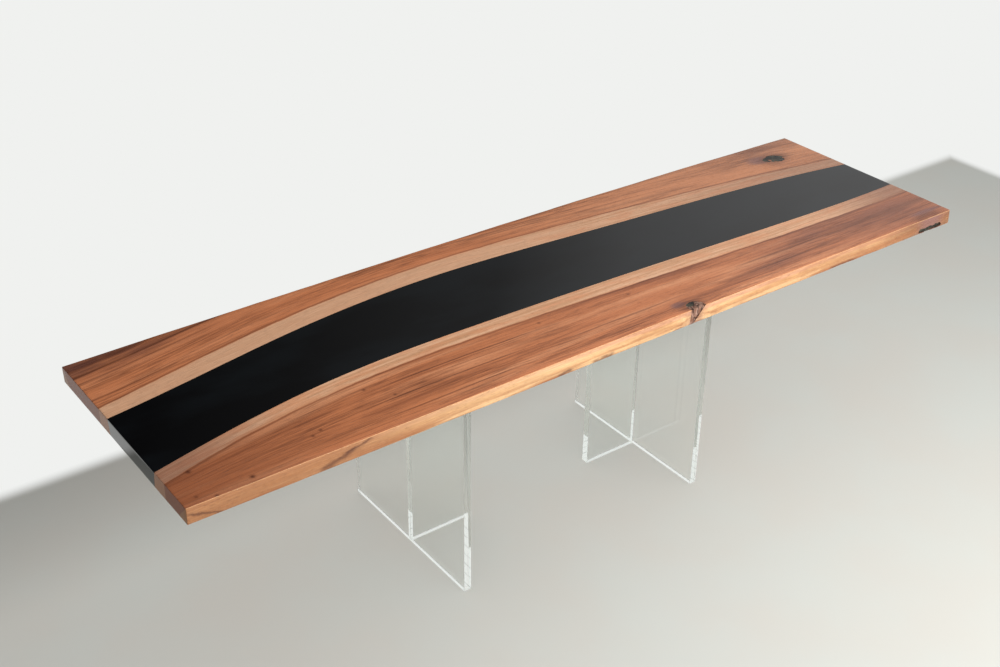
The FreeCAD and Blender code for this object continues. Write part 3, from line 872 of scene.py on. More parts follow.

# Slow changes of the heartwood's tone: the tone, from and to along the top, and its share at both places
# On the front slab the purple brown that grows towards the right end is painted sheen, for the washed-out
# wood there
FRONT_TONES_AND_SHEEN = (("heart_dark", -1.4, -0.8, 0.75, 0.0), ("heart_ripe", 0.45, 1.3, 0.0, 0.35))
BACK_TONES = (("heart_warm", -0.1, 0.5, 0.4, 0.0), ("heart_light", -0.3, 0.7, 0.1, 0.55))

# The same for the sapwood
# In both sapwoods the purple brown that grows towards the right end is the same painted sheen
FRONT_SAP_TONES_AND_SHEEN = (("heart_ripe", -1.35, -0.9, 0.65, 0.0), ("heart_ripe", 0.9, 1.35, 0.0, 0.65))
BACK_SAP_TONES_AND_SHEEN = (("sap_light", -0.2, 0.4, 0.7, 0.0), ("heart_ripe", 0.4, 1.35, 0.08, 0.5))

# Blotchy purple brown patches of the heartwood: place on the top, reach along and across, depth of tone
FRONT_PATCHES = (
    ((0.62, -0.31), (0.14, 0.03), 0.6),
    ((0.85, -0.24), (0.2, 0.05), 0.55),
    ((1.2, -0.27), (0.2, 0.08), 0.6),
)
BACK_PATCHES = (
    ((-1.33, 0.345), (0.26, 0.055), 1.0),
    ((1.2, 0.33), (0.2, 0.05), 0.4),
)

# Small round dark knots of the front slab: place on the top, radius and depth of tone
FRONT_PINS = (
    ((-1.305, -0.257), 0.007, 0.9),
    ((-1.189, -0.362), 0.007, 0.9),
    ((-1.29, -0.38), 0.005, 0.8),
    ((-1.332, -0.357), 0.005, 0.6),
    ((-0.961, -0.287), 0.005, 0.75),
    ((-0.989, -0.299), 0.005, 0.7),
    ((-0.778, -0.193), 0.005, 0.75),
    ((-0.723, -0.258), 0.005, 0.7),
    ((-0.194, -0.183), 0.005, 0.65),
    ((0.123, -0.201), 0.006, 0.5),
)

# Dark cracks and bark low in the live edges: both ends, along the top and below its face, and half width
FRONT_CRACKS = (
    ((-1.37, 0.02), (-1.28, 0.046), 0.004),
    ((-1.02, 0.044), (-0.915, 0.018), 0.009),
    ((-0.95, 0.022), (-0.87, 0.006), 0.004),
    ((-0.28, 0.045), (-0.23, 0.04), 0.005),
    ((-0.16, 0.046), (-0.08, 0.042), 0.005),
    ((0.8, 0.046), (0.92, 0.042), 0.004),
)

FRONT_KNOT = Knot(
    "front_knot_fill",
    front_knot_plug,
    (0.055, 0.032),
    (-0.03, 0.02),
    (0.032, 0.018),
    (0.0, 0.012),
    (0.02, 0.02),
    (0.014, 0.005),
)
EDGE_POCKET = Knot(
    "edge_pocket_fill",
    pocket_plug,
    (0.07, 0.025),
    (0.02, 0.03),
    (0.085, 0.014),
    (0.01, 0.0),
    (0.07, 0.05),
    (0.026, 0.036),
)
BACK_KNOT = Knot(
    "back_knot_fill",
    back_knot_plug,
    (0.075, 0.045),
    (-0.06, 0.022),
    (0.055, 0.034),
    (0.0, 0.0),
    (0.055, 0.036),
    (0.06, 0.05),
)

FRONT_SLAB = Slab(
    "front_slab",
    1,
    FRONT_EDGE,
    RIVER_FRONT,
    RIVER_FRONT_LEAN,
    FRONT_HEART,
    0.27,
    (FRONT_KNOT, EDGE_POCKET),
    FRONT_STREAKS,
    FRONT_TONES_AND_SHEEN,
    FRONT_SAP_TONES_AND_SHEEN,
    FRONT_PATCHES,
    FRONT_PINS,
    FRONT_CRACKS,
)
BACK_SLAB = Slab(
    "back_slab",
    -1,
    BACK_EDGE,
    RIVER_BACK,
    RIVER_BACK_LEAN,
    BACK_HEART,
    0,
    (BACK_KNOT,),
    BACK_STREAKS,
    BACK_TONES,
    BACK_SAP_TONES_AND_SHEEN,
    BACK_PATCHES,
)


def unit_slab(name):
    """A closed block of unit size with a fine grid, its top face at zero."""
    deselect_all()
    bpy.ops.mesh.primitive_grid_add(
        x_subdivisions=ALONG_STEPS, y_subdivisions=ACROSS_STEPS, size=1, calc_uvs=False
    )
    piece = named(name)
    bpy.ops.object.mode_set(mode="EDIT")
    bpy.ops.mesh.select_all(action="SELECT")
    for _ in range(DEPTH_STEPS):
        bpy.ops.mesh.extrude_region_move(TRANSFORM_OT_translate={"value": (0, 0, -1 / DEPTH_STEPS)})
    bpy.ops.mesh.select_all(action="SELECT")
    bpy.ops.mesh.normals_make_consistent(inside=False)
    bpy.ops.object.mode_set(mode="OBJECT")
    return piece


def on_end(point):
    """True at either end of a unit slab."""
    return abs(point.x) > HALF - SNUG


def on_face(point):
    """True on the top or under face of a unit slab."""
    return point.z > -SNUG or point.z < SNUG - 1


def same_face(first, second):
    """True if both points lie on the top face, or both on the under face, of a unit slab."""
    return on_face(first) and on_face(second) and abs(first.z - second.z) < SNUG


def end_arris(first, second):
    """True for the arrises of a unit slab's two ends."""
    return on_end(first) and on_end(second) and same_face(first, second)


def outer_arris(side):
    """A test for the arrises of a unit slab's ends and of its side towards the room."""

    def outside(point):
        return point.y * side < SNUG - HALF

    def test(first, second):
        if not (outside(first) and outside(second)):
            return end_arris(first, second)
        return same_face(first, second) or (on_end(first) and on_end(second))

    return test


def draw_out(piece, near_wall, far_wall):
    """Bring a unit slab to its place between two walls, the near one towards the front."""
    mesh = piece.data
    unit = np.array([vertex.co[:] for vertex in mesh.vertices])
    x = unit[:, 0] * TOP_LENGTH
    down = -unit[:, 2]
    near = near_wall(x, down)
    y = near + (far_wall(x, down) - near) * (unit[:, 1] + HALF)
    z = TOP_FACE - TOP_THICKNESS * down
    mesh.vertices.foreach_set("co", np.column_stack((x, y, z)).ravel())
    mesh.update()


def map_grain(piece, slab):
    """Write the slab's grain and its zones of wood to maps of the piece."""
    mesh = piece.data
    points = np.array([vertex.co[:] for vertex in mesh.vertices])
    corners = np.array([loop.vertex_index for loop in mesh.loops])
    for layer, values in (("grain_flow", slab.flow(points)), ("wood_zone", slab.zone(points))):
        mesh.uv_layers.new(name=layer).data.foreach_set("uv", values[corners].ravel())


# How far a face has to look along the top to belong to a square end, and the place of the ends' finish
END_FACING = 0.8
END_FINISH = 1


def mark_ends(piece):
    """Give the square ends of a slab their own finish."""
    for polygon in piece.data.polygons:
        if abs(polygon.normal.x) > END_FACING:
            polygon.material_index = END_FINISH


def groove_cutter():
    """The grooves of the three steel channels in the under face, as one closed shape."""
    gap = bpy.context.scene.table_sizes.channel_gap
    room = Vector((gap, gap, gap))
    pieces = []
    for side in ("left", "middle", "right"):
        low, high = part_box(f"{side}_channel")
        low = Vector((low.x, low.y, UNDER_FACE - TOP_THICKNESS))
        pieces.append(block("groove", low - room, high + room))
    return join(pieces)


def insert_cutter():
    """The holes of the threaded inserts over the mounting plates, as closed shapes."""
    pieces = []
    for side in ("left", "right"):
        for low, high in separate_boxes(f"{side}_plate_inserts"):
            size = high - low
            pieces.append(hole("insert_hole", low, high, size.x / 2, 2 * size.z, low.z))
    return join(pieces)


def separate_boxes(node):
    """The corners of each solid of a node that holds several small ones."""
    groups = []
    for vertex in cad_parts[node].data.vertices:
        near = next((group for group in groups if (group[0] - vertex.co).length < FITTING_REACH), None)
        if near is None:
            groups.append([vertex.co.copy()])
        else:
            near.append(vertex.co.copy())
    return [
        (Vector(np.min(group, axis=0)), Vector(np.max(group, axis=0)))
        for group in (np.array([point[:] for point in points]) for points in groups)
    ]


def make_slab(slab):
    """One walnut slab, with rounded outer arrises, a live edge, grooves, holes and open knots."""
    sizes = bpy.context.scene.table_sizes
    piece = unit_slab(f"walnut_{slab.name}")
    pick_edges(piece, outer_arris(slab.side))
    draw_out(piece, *(slab.live_wall, slab.river_wall)[:: slab.side])
    round_picked_edges(piece, sizes.arris, sizes.arris_steps)
    map_grain(piece, slab)
    mark_ends(piece)
    knot_bark = bark(f"{slab.name}_bark")
    dress(piece, "walnut", walnut(f"{slab.name}_walnut", slab), end_grain(f"{slab.name}_end"), knot_bark)
    cut(piece, groove_cutter())
    cut(piece, insert_cutter())
    for knot in slab.knots:
        plug = even_facets(roughen(hollow(knot)), sizes.knot_voxel)
        plug.data.materials.append(knot_bark)
        cut(piece, plug)
    return piece


def centred(value, amount):
    """Noise from 0 to 1 turned into a swing of plus or minus half the amount."""
    return calc("MULTIPLY", calc("SUBTRACT", value, HALF), amount)


def hump(x, y, centre, reach):
    """1 at a place on the top, falling off over a reach along and across it."""
    square = 0.0
    for value, middle, width in zip((x, y), centre, reach):
        offset = calc("DIVIDE", calc("SUBTRACT", value, middle), width)
        square = calc("MULTIPLY_ADD", offset, offset, square)
    return calc("EXPONENT", calc("MULTIPLY", square, -1.0))


def darken(tone, share, depth):
    """Mix a share of the dark line colour into a tone."""
    return mix(calc("MULTIPLY", share, depth), tone, bpy.context.scene.table_colours.heart_line)


def shift_tones(tone, x, tones):
    """Slow changes of a tone along the top."""
    for shade, start, end, first, last in tones:
        other = getattr(bpy.context.scene.table_colours, shade)
        tone = mix(step(x, start, end, first, last), tone, other)
    return tone


def heart_bands(grain, place, slab):
    """Soft bands of dark, middle and light heartwood, with slow changes along the slab, of which the front
    slab's purple brown at its right end is painted sheen, and ripe patches.
    """
    colours = bpy.context.scene.table_colours
    bands = cloud(grain, BAND_SCALE, BAND_DETAIL)
    tone = mix(step(bands, *DARK_BAND), colours.heart_dark, colours.heart)
    tone = mix(step(bands, *LIGHT_BAND), tone, colours.heart_light)
    x, y, _ = place
    # Slow changes along the slab: on the front slab the purple brown towards the right end is painted sheen
    tone = shift_tones(tone, x, slab.tones)
    blotches = step(cloud(grain, BLOTCH_SCALE, BLOTCH_DETAIL), *BLOTCH_RANGE)
    for centre, reach, depth in slab.patches:
        share = calc("MULTIPLY", blotches, hump(x, y, centre, reach))
        tone = mix(calc("MULTIPLY", share, depth), tone, colours.heart_ripe)
    return tone


def growth_rings(grain, across):
    """Growth lines that darken slowly and end sharply, in patches."""
    phase = calc("MULTIPLY", across, RINGS)
    for scale, swing in RING_SWAYS:
        phase = calc("ADD", phase, centred(cloud(grain, scale), swing))
    ring = calc("POWER", calc("FRACT", phase), RING_SHARPNESS)
    return calc("MULTIPLY", ring, step(cloud(grain, RING_PATCH_SCALE), *RING_PATCH))


def heart_colour(grain, place, across, slab):
    """Heartwood with soft bands, growth lines, dark streaks and pin knots."""
    x, y, _ = place
    tone = heart_bands(grain, place, slab)
    tone = darken(tone, growth_rings(grain, across), RING_DEPTH)
    for scale, width, depth, patch_scale in SHORT_LINES:
        line = bell(cloud(grain, scale), HALF, width)
        patch = step(cloud(grain, patch_scale), *LINE_PATCH)
        tone = darken(tone, calc("MULTIPLY", line, patch), depth)
    for start, end, middle, width, depth in slab.streaks:
        begun = step(x, start - STREAK_FADE, start)
        run = calc("MULTIPLY", begun, step(x, end + STREAK_FADE, end))
        tone = darken(tone, calc("MULTIPLY", bell(across, middle, width), run), depth)
    for centre, radius, depth in slab.pins:
        tone = darken(tone, hump(x, y, centre, (radius, radius)), depth)
    return tone


def edge_crack(x, z, crack):
    """A dark crack on a live edge, given the height with its wander."""
    (start, start_depth), (end, end_depth), width = crack
    share = calc("DIVIDE", calc("SUBTRACT", x, start), end - start)
    line = calc("MULTIPLY_ADD", share, start_depth - end_depth, TOP_FACE - start_depth)
    run = calc("MULTIPLY", step(share, *CRACK_START), step(share, *CRACK_END))
    return calc("MULTIPLY", bell(z, line, width), run)


def edge_colour(grain, x, z, veins, slab):
    """Golden live edge, pink above, darker at its ends, with orange streaks low down that also paint the
    shade of the face turning under, and its cracks.
    """
    colours = bpy.context.scene.table_colours
    tone = mix(step(veins, *VEIN_RANGE), colours.edge, colours.edge_light)
    depth = calc("ADD", calc("SUBTRACT", TOP_FACE, z), centred(veins, EDGE_BAND_SWING))
    tone = mix(step(depth, *EDGE_BAND, EDGE_BAND_DEPTH, 0.0), tone, colours.edge_upper)
    blotches = step(cloud(grain, EDGE_BLOTCH_SCALE, BLOTCH_DETAIL), *EDGE_BLOTCH_RANGE)
    tone = mix(calc("MULTIPLY", blotches, EDGE_BLOTCH_DEPTH), tone, colours.edge_dark)
    tone = shift_tones(tone, x, EDGE_TONES)
    # Orange streaks low down: orange wood, darkened as painted shade where the face turns under
    low_wood_and_shade = step(z, *(TOP_FACE - share * TOP_THICKNESS for share in EDGE_FOOT_SHARES))
    streaks = calc("MULTIPLY", low_wood_and_shade, step(veins, *EDGE_FOOT_VEINS, 1.0, 0.0))
    tone = mix(streaks, tone, colours.edge_dark)
    wander = cloud(stack(x, 0.0, z), CRACK_WANDER_SCALE, BLOTCH_DETAIL)
    height = calc("ADD", z, centred(wander, CRACK_WANDER))
    for crack in slab.cracks:
        tone = darken(tone, edge_crack(x, height, crack), CRACK_DEPTH)
    return tone


def walnut(name, slab):
    """Oiled walnut: figured heartwood, pale sapwood along the river and golden live edges."""
    colours = bpy.context.scene.table_colours
    finish, tree, surface = new_finish(name)
    along, across, _ = split(uv_place(tree, "grain_flow"))
    in_sap, in_edge, _ = split(uv_place(tree, "wood_zone"))
    x, y, z = split(object_place(tree))
    wander = cloud(stack(along, across, 0.0), WANDER_SCALE)
    across = calc("ADD", across, centred(wander, WANDER))
    halo = 0.0
    tail = 0.0
    for knot in slab.knots:
        pull = hump(x, y, (knot.x, knot.y), knot.reach)
        offset = calc("SUBTRACT", slab.grain_across(knot.x, knot.y), across)
        across = calc("MULTIPLY_ADD", offset, calc("MULTIPLY", pull, KNOT_DRAW), across)
        halo = calc("MAXIMUM", halo, pull)
        tail = calc("MAXIMUM", tail, hump(x, y, knot.tail, knot.tail_reach))
    grain = stack(along, across, z)
    fibres = cloud(grain, FIBRE_SCALE)
    pores = step(cloud(grain, PORE_SCALE, PORE_DETAIL), *PORE_RANGE)
    veins = cloud(grain, VEIN_SCALE, VEIN_DETAIL)

    heart = heart_colour(grain, (x, y, z), across, slab)
    heart = mix(step(tail, *TAIL_RANGE, 0.0, TAIL_DEPTH), heart, colours.knot_shade)
    heart = darken(heart, step(halo, *HALO_RANGE), HALO_DEPTH)
    sap = mix(step(veins, *VEIN_RANGE), colours.sap, colours.sap_light)
    mottle = cloud(grain, MOTTLE_SCALE, BLOTCH_DETAIL)
    sap = mix(step(mottle, *MOTTLE_RANGE, 0.0, MOTTLE_DEPTH), sap, colours.heart_light)
    # Slow changes of the sapwood along the slab: the purple brown towards the right end is painted sheen
    sap = shift_tones(sap, x, slab.sap_tones_and_sheen)
    shore = cloud(stack(along, 0.0, 0.0), SHORE_SCALE, SHORE_DETAIL)
    shore = calc("ADD", in_sap, centred(shore, SHORE_SWING))
    place, width, depth = SHORE_LINE
    heart = darken(heart, bell(shore, place, width), depth)
    wood = mix(step(shore, *SHORE_TURN), heart, sap)
    rim = calc("ADD", in_edge, centred(veins, RIM_SWING))
    edge = edge_colour(grain, x, z, veins, slab)
    edge = mix(step(halo, *HALO_RANGE, 0.0, EDGE_HALO_DEPTH), edge, colours.knot_shade)
    wood = mix(step(rim, *RIM_TURN), wood, edge)
    # A light line along the top arris: lighter sanded wood with a painted highlight
    place, width, depth = ARRIS_SANDING_AND_HIGHLIGHT
    sanding_and_highlight = calc("MULTIPLY", bell(in_edge, place, width), depth)
    wood = mix(sanding_and_highlight, wood, colours.edge_light)
    wood = darken(wood, step(fibres, *reversed(MAIN_RANGE)), FIBRE_DEPTH)
    wood = darken(wood, pores, PORE_DEPTH)

    shine = step(fibres, *DULL_RANGE, *WOOD_ROUGHNESS)
    roughness = calc("MULTIPLY_ADD", pores, PORE_ROUGHNESS, shine)
    coat(surface, wood, roughness, Normal=bump(calc("SUBTRACT", fibres, pores), *WOOD_BUMP))
    return finish


def end_grain(name):
    """Sawn end grain with growth rings, in the same zones of wood."""
    colours = bpy.context.scene.table_colours
    finish, tree, surface = new_finish(name)
    in_sap, in_edge, _ = split(uv_place(tree, "wood_zone"))
    _, across, _ = split(uv_place(tree, "grain_flow"))
    _, y, z = split(object_place(tree))
    face = stack(0.0, y, z)
    bow = calc("MULTIPLY", calc("SUBTRACT", z, UNDER_FACE), END_BOW)
    ring_place = calc("ADD", across, calc("MULTIPLY", bow, bow))
    wobble = calc("MULTIPLY", cloud(face, END_WOBBLE_SCALE), END_WOBBLE)
    rings = cloud(stack(calc("ADD", ring_place, wobble), 0.0, 0.0), END_RING_SCALE)
    pores = step(cloud(face, END_PORE_SCALE, PORE_DETAIL), *END_PORE_RANGE)
    ring = step(rings, *END_RING_RANGE)
    heart = mix(ring, colours.heart_dark, colours.heart)
    sap = mix(ring, colours.sap, colours.sap_light)
    wood = mix(step(in_sap, *END_TURN), heart, sap)
    wood = mix(step(in_edge, *reversed(END_TURN)), wood, colours.edge)
    wood = mix(END_SHADE, wood, colours.heart_dark, "MULTIPLY")
    wood = darken(wood, pores, END_PORE_DEPTH)
    relief = bump(calc("SUBTRACT", rings, pores), *END_BUMP)
    coat(surface, wood, step(rings, *DULL_RANGE, *END_ROUGHNESS), Normal=relief)
    feed(surface.inputs["Specular IOR Level"], END_SPECULAR)
    return finish


def bark(name):
    """Grey brown bark inside an open knot, with painted shade in the hollows of its relief."""
    colours = bpy.context.scene.table_colours
    finish, tree, surface = new_finish(name)
    ridges = cloud(object_place(tree), *BARK_NOISE)
    # The hollows of the relief get the dark bark colour: painted shade
    tone = mix(step(ridges, *BARK_SHADE_TURN), colours.bark_dark, colours.bark)
    coat(surface, tone, step(ridges, *DULL_RANGE, *BARK_ROUGHNESS), Normal=bump(ridges, *BARK_BUMP))
    return finish


class TABLE_OT_walnut_slabs(bpy.types.Operator):
    """Model the two walnut slabs"""

    bl_idname = "table.walnut_slabs"
    bl_label = "Walnut slabs"

    def execute(self, context):
        for slab in (FRONT_SLAB, BACK_SLAB):
            piece = make_slab(slab)
            smooth(piece)
            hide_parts(slab.name)
        return {"FINISHED"}


# What fills the knots: scales in waves per metre, the cracks' half width, and the pool of resin
RIDGE_SCALE = (90.0, 90.0, 50.0)
RIDGE_DETAIL = 4.0
RIDGE_RANGE = (0.35, 0.65)
CRACK_SCALE = (60.0, 60.0, 30.0)
CRACK_WIDTH = 0.05
SWIRL_SCALE = (30.0, 60.0, 60.0)
SWIRL_RANGE = (0.4, 0.7)
POOL_SWING = 0.5
POOL_TURN = (0.42, 0.5)
POOL_ROUGHNESS = 0.2
KNOT_SPECULAR = 0.25


def knot_fill(knot):
    """Bark with dark cracks, and greenish black resin over the middle of it."""
    colours = bpy.context.scene.table_colours
    finish, tree, surface = new_finish(knot.node)
    place = object_place(tree)
    x, y, z = split(place)
    ridges = cloud(place, RIDGE_SCALE, RIDGE_DETAIL)
    cracks = bell(cloud(place, CRACK_SCALE), HALF, CRACK_WIDTH)
    tone = mix(step(ridges, *RIDGE_RANGE), colours.bark, colours.bark_light)
    tone = mix(cracks, tone, colours.bark_dark)
    pool = calc("ADD", hump(x, y, knot.pool, knot.pool_reach), centred(ridges, POOL_SWING))
    begun = step(z, *(TOP_FACE - depth for depth in knot.pool_depths))
    pool = calc("MULTIPLY", step(pool, *POOL_TURN), begun)
    swirl = cloud(place, SWIRL_SCALE, RIDGE_DETAIL)
    resin = mix(step(swirl, *SWIRL_RANGE), colours.knot_resin, colours.knot_haze)
    dull = step(ridges, *RIDGE_RANGE, *BARK_ROUGHNESS)
    height = calc("MULTIPLY", ridges, calc("SUBTRACT", 1.0, pool))
    roughness = mix_value(pool, dull, POOL_ROUGHNESS)
    coat(surface, mix(pool, tone, resin), roughness, Normal=bump(height, *BARK_BUMP))
    feed(surface.inputs["Specular IOR Level"], KNOT_SPECULAR)
    return finish


class TABLE_OT_knot_fills(bpy.types.Operator):
    """Model what fills the two knots and the bark pocket"""

    bl_idname = "table.knot_fills"
    bl_label = "Knot fillings"

    def execute(self, context):
        sizes = context.scene.table_sizes
        for knot in (FRONT_KNOT, BACK_KNOT, EDGE_POCKET):
            piece = hollow(knot)
            if knot.y < 0:
                trim(piece, (0, CAD_LOW.y + sizes.knot_recess + sizes.knot_relief / 2, 0), (0, -1, 0))
            roughen(piece)
            trim(piece, (0, 0, TOP_FACE - sizes.knot_drop), (0, 0, 1))
            trim(piece, (0, 0, UNDER_FACE + sizes.knot_drop), (0, 0, -1))
            named(knot.node.replace("_fill", "_filling"))
            dress(piece, "knot_resin", knot_fill(knot))
            smooth(piece)
            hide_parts(knot.node)
        return {"FINISHED"}


# The river


# The resin's clouds and polishing haze as noises, its second tone, and how strongly it bends light
RIVER_CLOUDS = ((3.0, 7.0, 7.0), 3.0)
RIVER_CLOUD_RANGE = (0.35, 0.65)
RIVER_HAZE = ((40.0, 40.0, 40.0), 4.0, 0.6)
RIVER_INK = (0.004, 0.005, 0.006)
RIVER_ROUGHNESS = (0.03, 0.07)
AIR_TO_RESIN = 1.55


def river_resin():
    """Polished black resin, with fine polishing haze."""
    finish, tree, surface = new_finish("river_resin")
    place = object_place(tree)
    share = step(cloud(place, *RIVER_CLOUDS), *RIVER_CLOUD_RANGE)
    tone = mix(share, bpy.context.scene.table_colours.resin, RIVER_INK)
    haze = cloud(place, *RIVER_HAZE)
    coat(surface, tone, step(haze, *MAIN_RANGE, *RIVER_ROUGHNESS), IOR=AIR_TO_RESIN)
    return finish


class TABLE_OT_resin_river(bpy.types.Operator):
    """Model the river of black resin"""

    bl_idname = "table.resin_river"
    bl_label = "Resin river"

    def execute(self, context):
        sizes = context.scene.table_sizes
        piece = unit_slab("black_river")
        pick_edges(piece, end_arris)
        draw_out(piece, FRONT_SLAB.river_wall, BACK_SLAB.river_wall)
        round_picked_edges(piece, sizes.arris, sizes.arris_steps)
        cut(piece, groove_cutter())
        dress(piece, "river_resin", river_resin())
        smooth(piece)
        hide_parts("resin_river")
        return {"FINISHED"}


# The acrylic pedestals


# Highest roughness of the acrylic's polished faces and edges, and the noise that lowers it
FACE_ROUGHNESS = 0.004
EDGE_ROUGHNESS = 0.008
POLISH_NOISE = ((35.0, 35.0, 35.0), 3.0)

# Scraped arrises: their noise, their roughness and how clear they are
SCRAPE_NOISE = ((400.0, 400.0, 60.0), 3.0)
SCRAPE_ROUGHNESS = (0.35, 0.6)
SCRAPE_CLEARNESS = 0.6

# How strongly light bends where it enters acrylic from air, and from cement, which is as dense
AIR_TO_ACRYLIC = 1.49
CEMENT_TO_ACRYLIC = 1.0

# Places of the finishes among those of a sheet, whose faces come first
EDGE_FINISH = 1
ARRIS_FINISH = 2
CEMENT_FINISH = 3

# How far a face has to look along an axis to be no part of an arris, and the facets of arrises and corners
SQUARE_FACING = 0.999
ACRYLIC_ARRIS_STEPS = 2
PLATE_CORNER_STEPS = 8


def clear_acrylic(name, tone, roughness, bending):
    """Clear cast acrylic, with a faint polishing grain, and how strongly it bends light."""
    finish, tree, surface = new_finish(name)
    grain = cloud(object_place(tree), *POLISH_NOISE)
    coat(surface, tone, step(grain, *MAIN_RANGE, 0.0, roughness), IOR=bending)
    feed(surface.inputs["Transmission Weight"], 1.0)
    return finish


def scraped_acrylic(name):
    """Scraped arrises of the acrylic, which catch the light as white lines."""
    finish, tree, surface = new_finish(name)
    scrape = cloud(object_place(tree), *SCRAPE_NOISE)
    tone = bpy.context.scene.table_colours.acrylic_arris
    coat(surface, tone, step(scrape, *MAIN_RANGE, *SCRAPE_ROUGHNESS), IOR=AIR_TO_ACRYLIC)
    feed(surface.inputs["Transmission Weight"], SCRAPE_CLEARNESS)
    return finish


def mark_sheet(piece, axis):
    """Give a sheet's narrow faces and its arrises their own finishes.

    The axis is the one across the sheet's thickness.
    """
    for polygon in piece.data.polygons:
        reach = [abs(part) for part in polygon.normal]
        if max(reach) < SQUARE_FACING:
            polygon.material_index = ARRIS_FINISH
        elif reach[axis] < HALF:
            polygon.material_index = EDGE_FINISH


def cemented_joint(side):
    """The place along the top where a stem meets its cross panel, and the limits of the joint across it."""
    cross_low, cross_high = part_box(f"{side}_cross_panel")
    low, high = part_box(f"{side}_stem_panel")
    faces = (cross_low.x, cross_high.x)
    return min(faces, key=lambda face: abs(face - (low.x + high.x) / 2)), low.y, high.y


def mark_joint(piece, x, low, high):
    """Cut the faces of a panel at the limits of a cemented joint and give the joint its own finish."""
    for place in (low, high):
        split_faces(piece, (x, place, 0), (0, 1, 0))
    for polygon in piece.data.polygons:
        met = abs(polygon.center.x - x) < 2 * bpy.context.scene.table_sizes.air_gap
        if met and abs(polygon.normal.x) > HALF and low < polygon.center.y < high:
            polygon.material_index = CEMENT_FINISH


def away_from(x, room):
    """A test for the edges that do not lie where a stem meets its cross panel."""

    def test(first, second):
        return max(abs(first.x - x), abs(second.x - x)) > room

    return test


def acrylic_finishes():
    """The finishes of faces, edges, arrises and cemented joints, made once."""
    colours = bpy.context.scene.table_colours
    names = ("acrylic_face", "acrylic_edge", "scraped_acrylic", "acrylic_cement")
    found = [bpy.data.materials.get(name) for name in names]
    if None in found:
        face = clear_acrylic(names[0], colours.acrylic, FACE_ROUGHNESS, AIR_TO_ACRYLIC)
        edge = clear_acrylic(names[EDGE_FINISH], colours.acrylic_edge, EDGE_ROUGHNESS, AIR_TO_ACRYLIC)
        arris = scraped_acrylic(names[ARRIS_FINISH])
        cement = clear_acrylic(names[CEMENT_FINISH], colours.acrylic, 0.0, CEMENT_TO_ACRYLIC)
        found = [face, edge, arris, cement]
    return found


def dress_acrylic(piece, node, axis, joint=None):
    """Finish an acrylic piece and let the lamps through it."""
    mark_sheet(piece, axis)
    if joint:
        mark_joint(piece, *joint)
    dress(piece, "clear_acrylic", *acrylic_finishes())
    piece.visible_shadow = False
    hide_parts(node)


class TABLE_OT_acrylic_panels(bpy.types.Operator):
    """Model the cross and stem panels of the two pedestals"""

    bl_idname = "table.acrylic_panels"
    bl_label = "Acrylic panels"

    def execute(self, context):
        sizes = context.scene.table_sizes
        gap = Vector((sizes.air_gap, sizes.air_gap, sizes.air_gap))
        for side in ("left", "right"):
            joint = cemented_joint(side)
            sharp = {"cross_panel": 0, "stem_panel": 2 * sizes.air_gap}
            for panel, axis in (("cross_panel", 0), ("stem_panel", 1)):
                node = f"{side}_{panel}"
                low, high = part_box(node)
                piece = block(f"acrylic_{node}", low + gap, high - gap)
                pick_edges(piece, away_from(joint[0], sharp[panel]))
                round_picked_edges(piece, sizes.acrylic_arris, ACRYLIC_ARRIS_STEPS)
                dress_acrylic(piece, node, axis, joint)
        return {"FINISHED"}


def plate_cutter(side, plate_high):
    """The housing of a plate for its panels, and its screw holes, as closed shapes."""
    sizes = bpy.context.scene.table_sizes
    gap = Vector((sizes.air_gap, sizes.air_gap, 0))
    pieces = []
    for panel in ("cross_panel", "stem_panel"):
        low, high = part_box(f"{side}_{panel}")
        pieces.append(block("housing", low - gap, high + gap))
    holes = [
        hole("screw_hole", low, high, sizes.plate_hole / 2, 2 * TOP_THICKNESS, plate_high)
        for low, high in separate_boxes(f"{side}_plate_washers")
    ]
    return pieces, join(holes)


class TABLE_OT_mounting_plates(bpy.types.Operator):
    """Model the clear plates that carry the top"""

    bl_idname = "table.mounting_plates"
    bl_label = "Mounting plates"

    def execute(self, context):
        sizes = context.scene.table_sizes
        gap = Vector((0, 0, sizes.air_gap))
        for side in ("left", "right"):
            node = f"{side}_mounting_plate"
            low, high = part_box(node)
            piece = block(f"acrylic_{node}", low + gap, high - gap)
            pick_edges(piece, lambda first, second: abs(first.z - second.z) > SNUG)
            round_picked_edges(piece, sizes.plate_corner, PLATE_CORNER_STEPS)
            pick_edges(piece, lambda first, second: abs(first.z - second.z) < SNUG)
            round_picked_edges(piece, sizes.acrylic_arris, ACRYLIC_ARRIS_STEPS)
            housings, holes = plate_cutter(side, high.z)
            for housing in housings:
                cut(piece, housing)
            cut(piece, holes)
            dress_acrylic(piece, node, 2)
            smooth(piece)
        return {"FINISHED"}


# Finishes of the steel and brass fittings


# Powder coating: orange peel with its relief, wear with its range and depth, and roughness
PEEL_NOISE = ((900.0, 900.0, 900.0), 2.0)
PEEL_BUMP = (0.2, 0.0003)
WEAR_NOISE = ((30.0, 12.0, 30.0), 4.0, 0.6)
WEAR_RANGE = (0.4, 0.75)
WEAR_DEPTH = 0.35
COATING_ROUGHNESS = (0.45, 0.6)

# Bright metal: tool marks with their relief, stains with their range, depth and tone, and roughness
MARKS_NOISE = ((600.0, 600.0, 2400.0), 3.0)
MARKS_BUMP = (0.1, 0.0002)
STAIN_NOISE = ((90.0, 90.0, 90.0), 3.0)
STAIN_RANGE = (0.35, 0.8)
STAIN_DEPTH = 0.3
STAIN_TONE = (0.18, 0.17, 0.15)
STEEL_ROUGHNESS = (0.22, 0.36)
BRASS_ROUGHNESS = (0.25, 0.4)


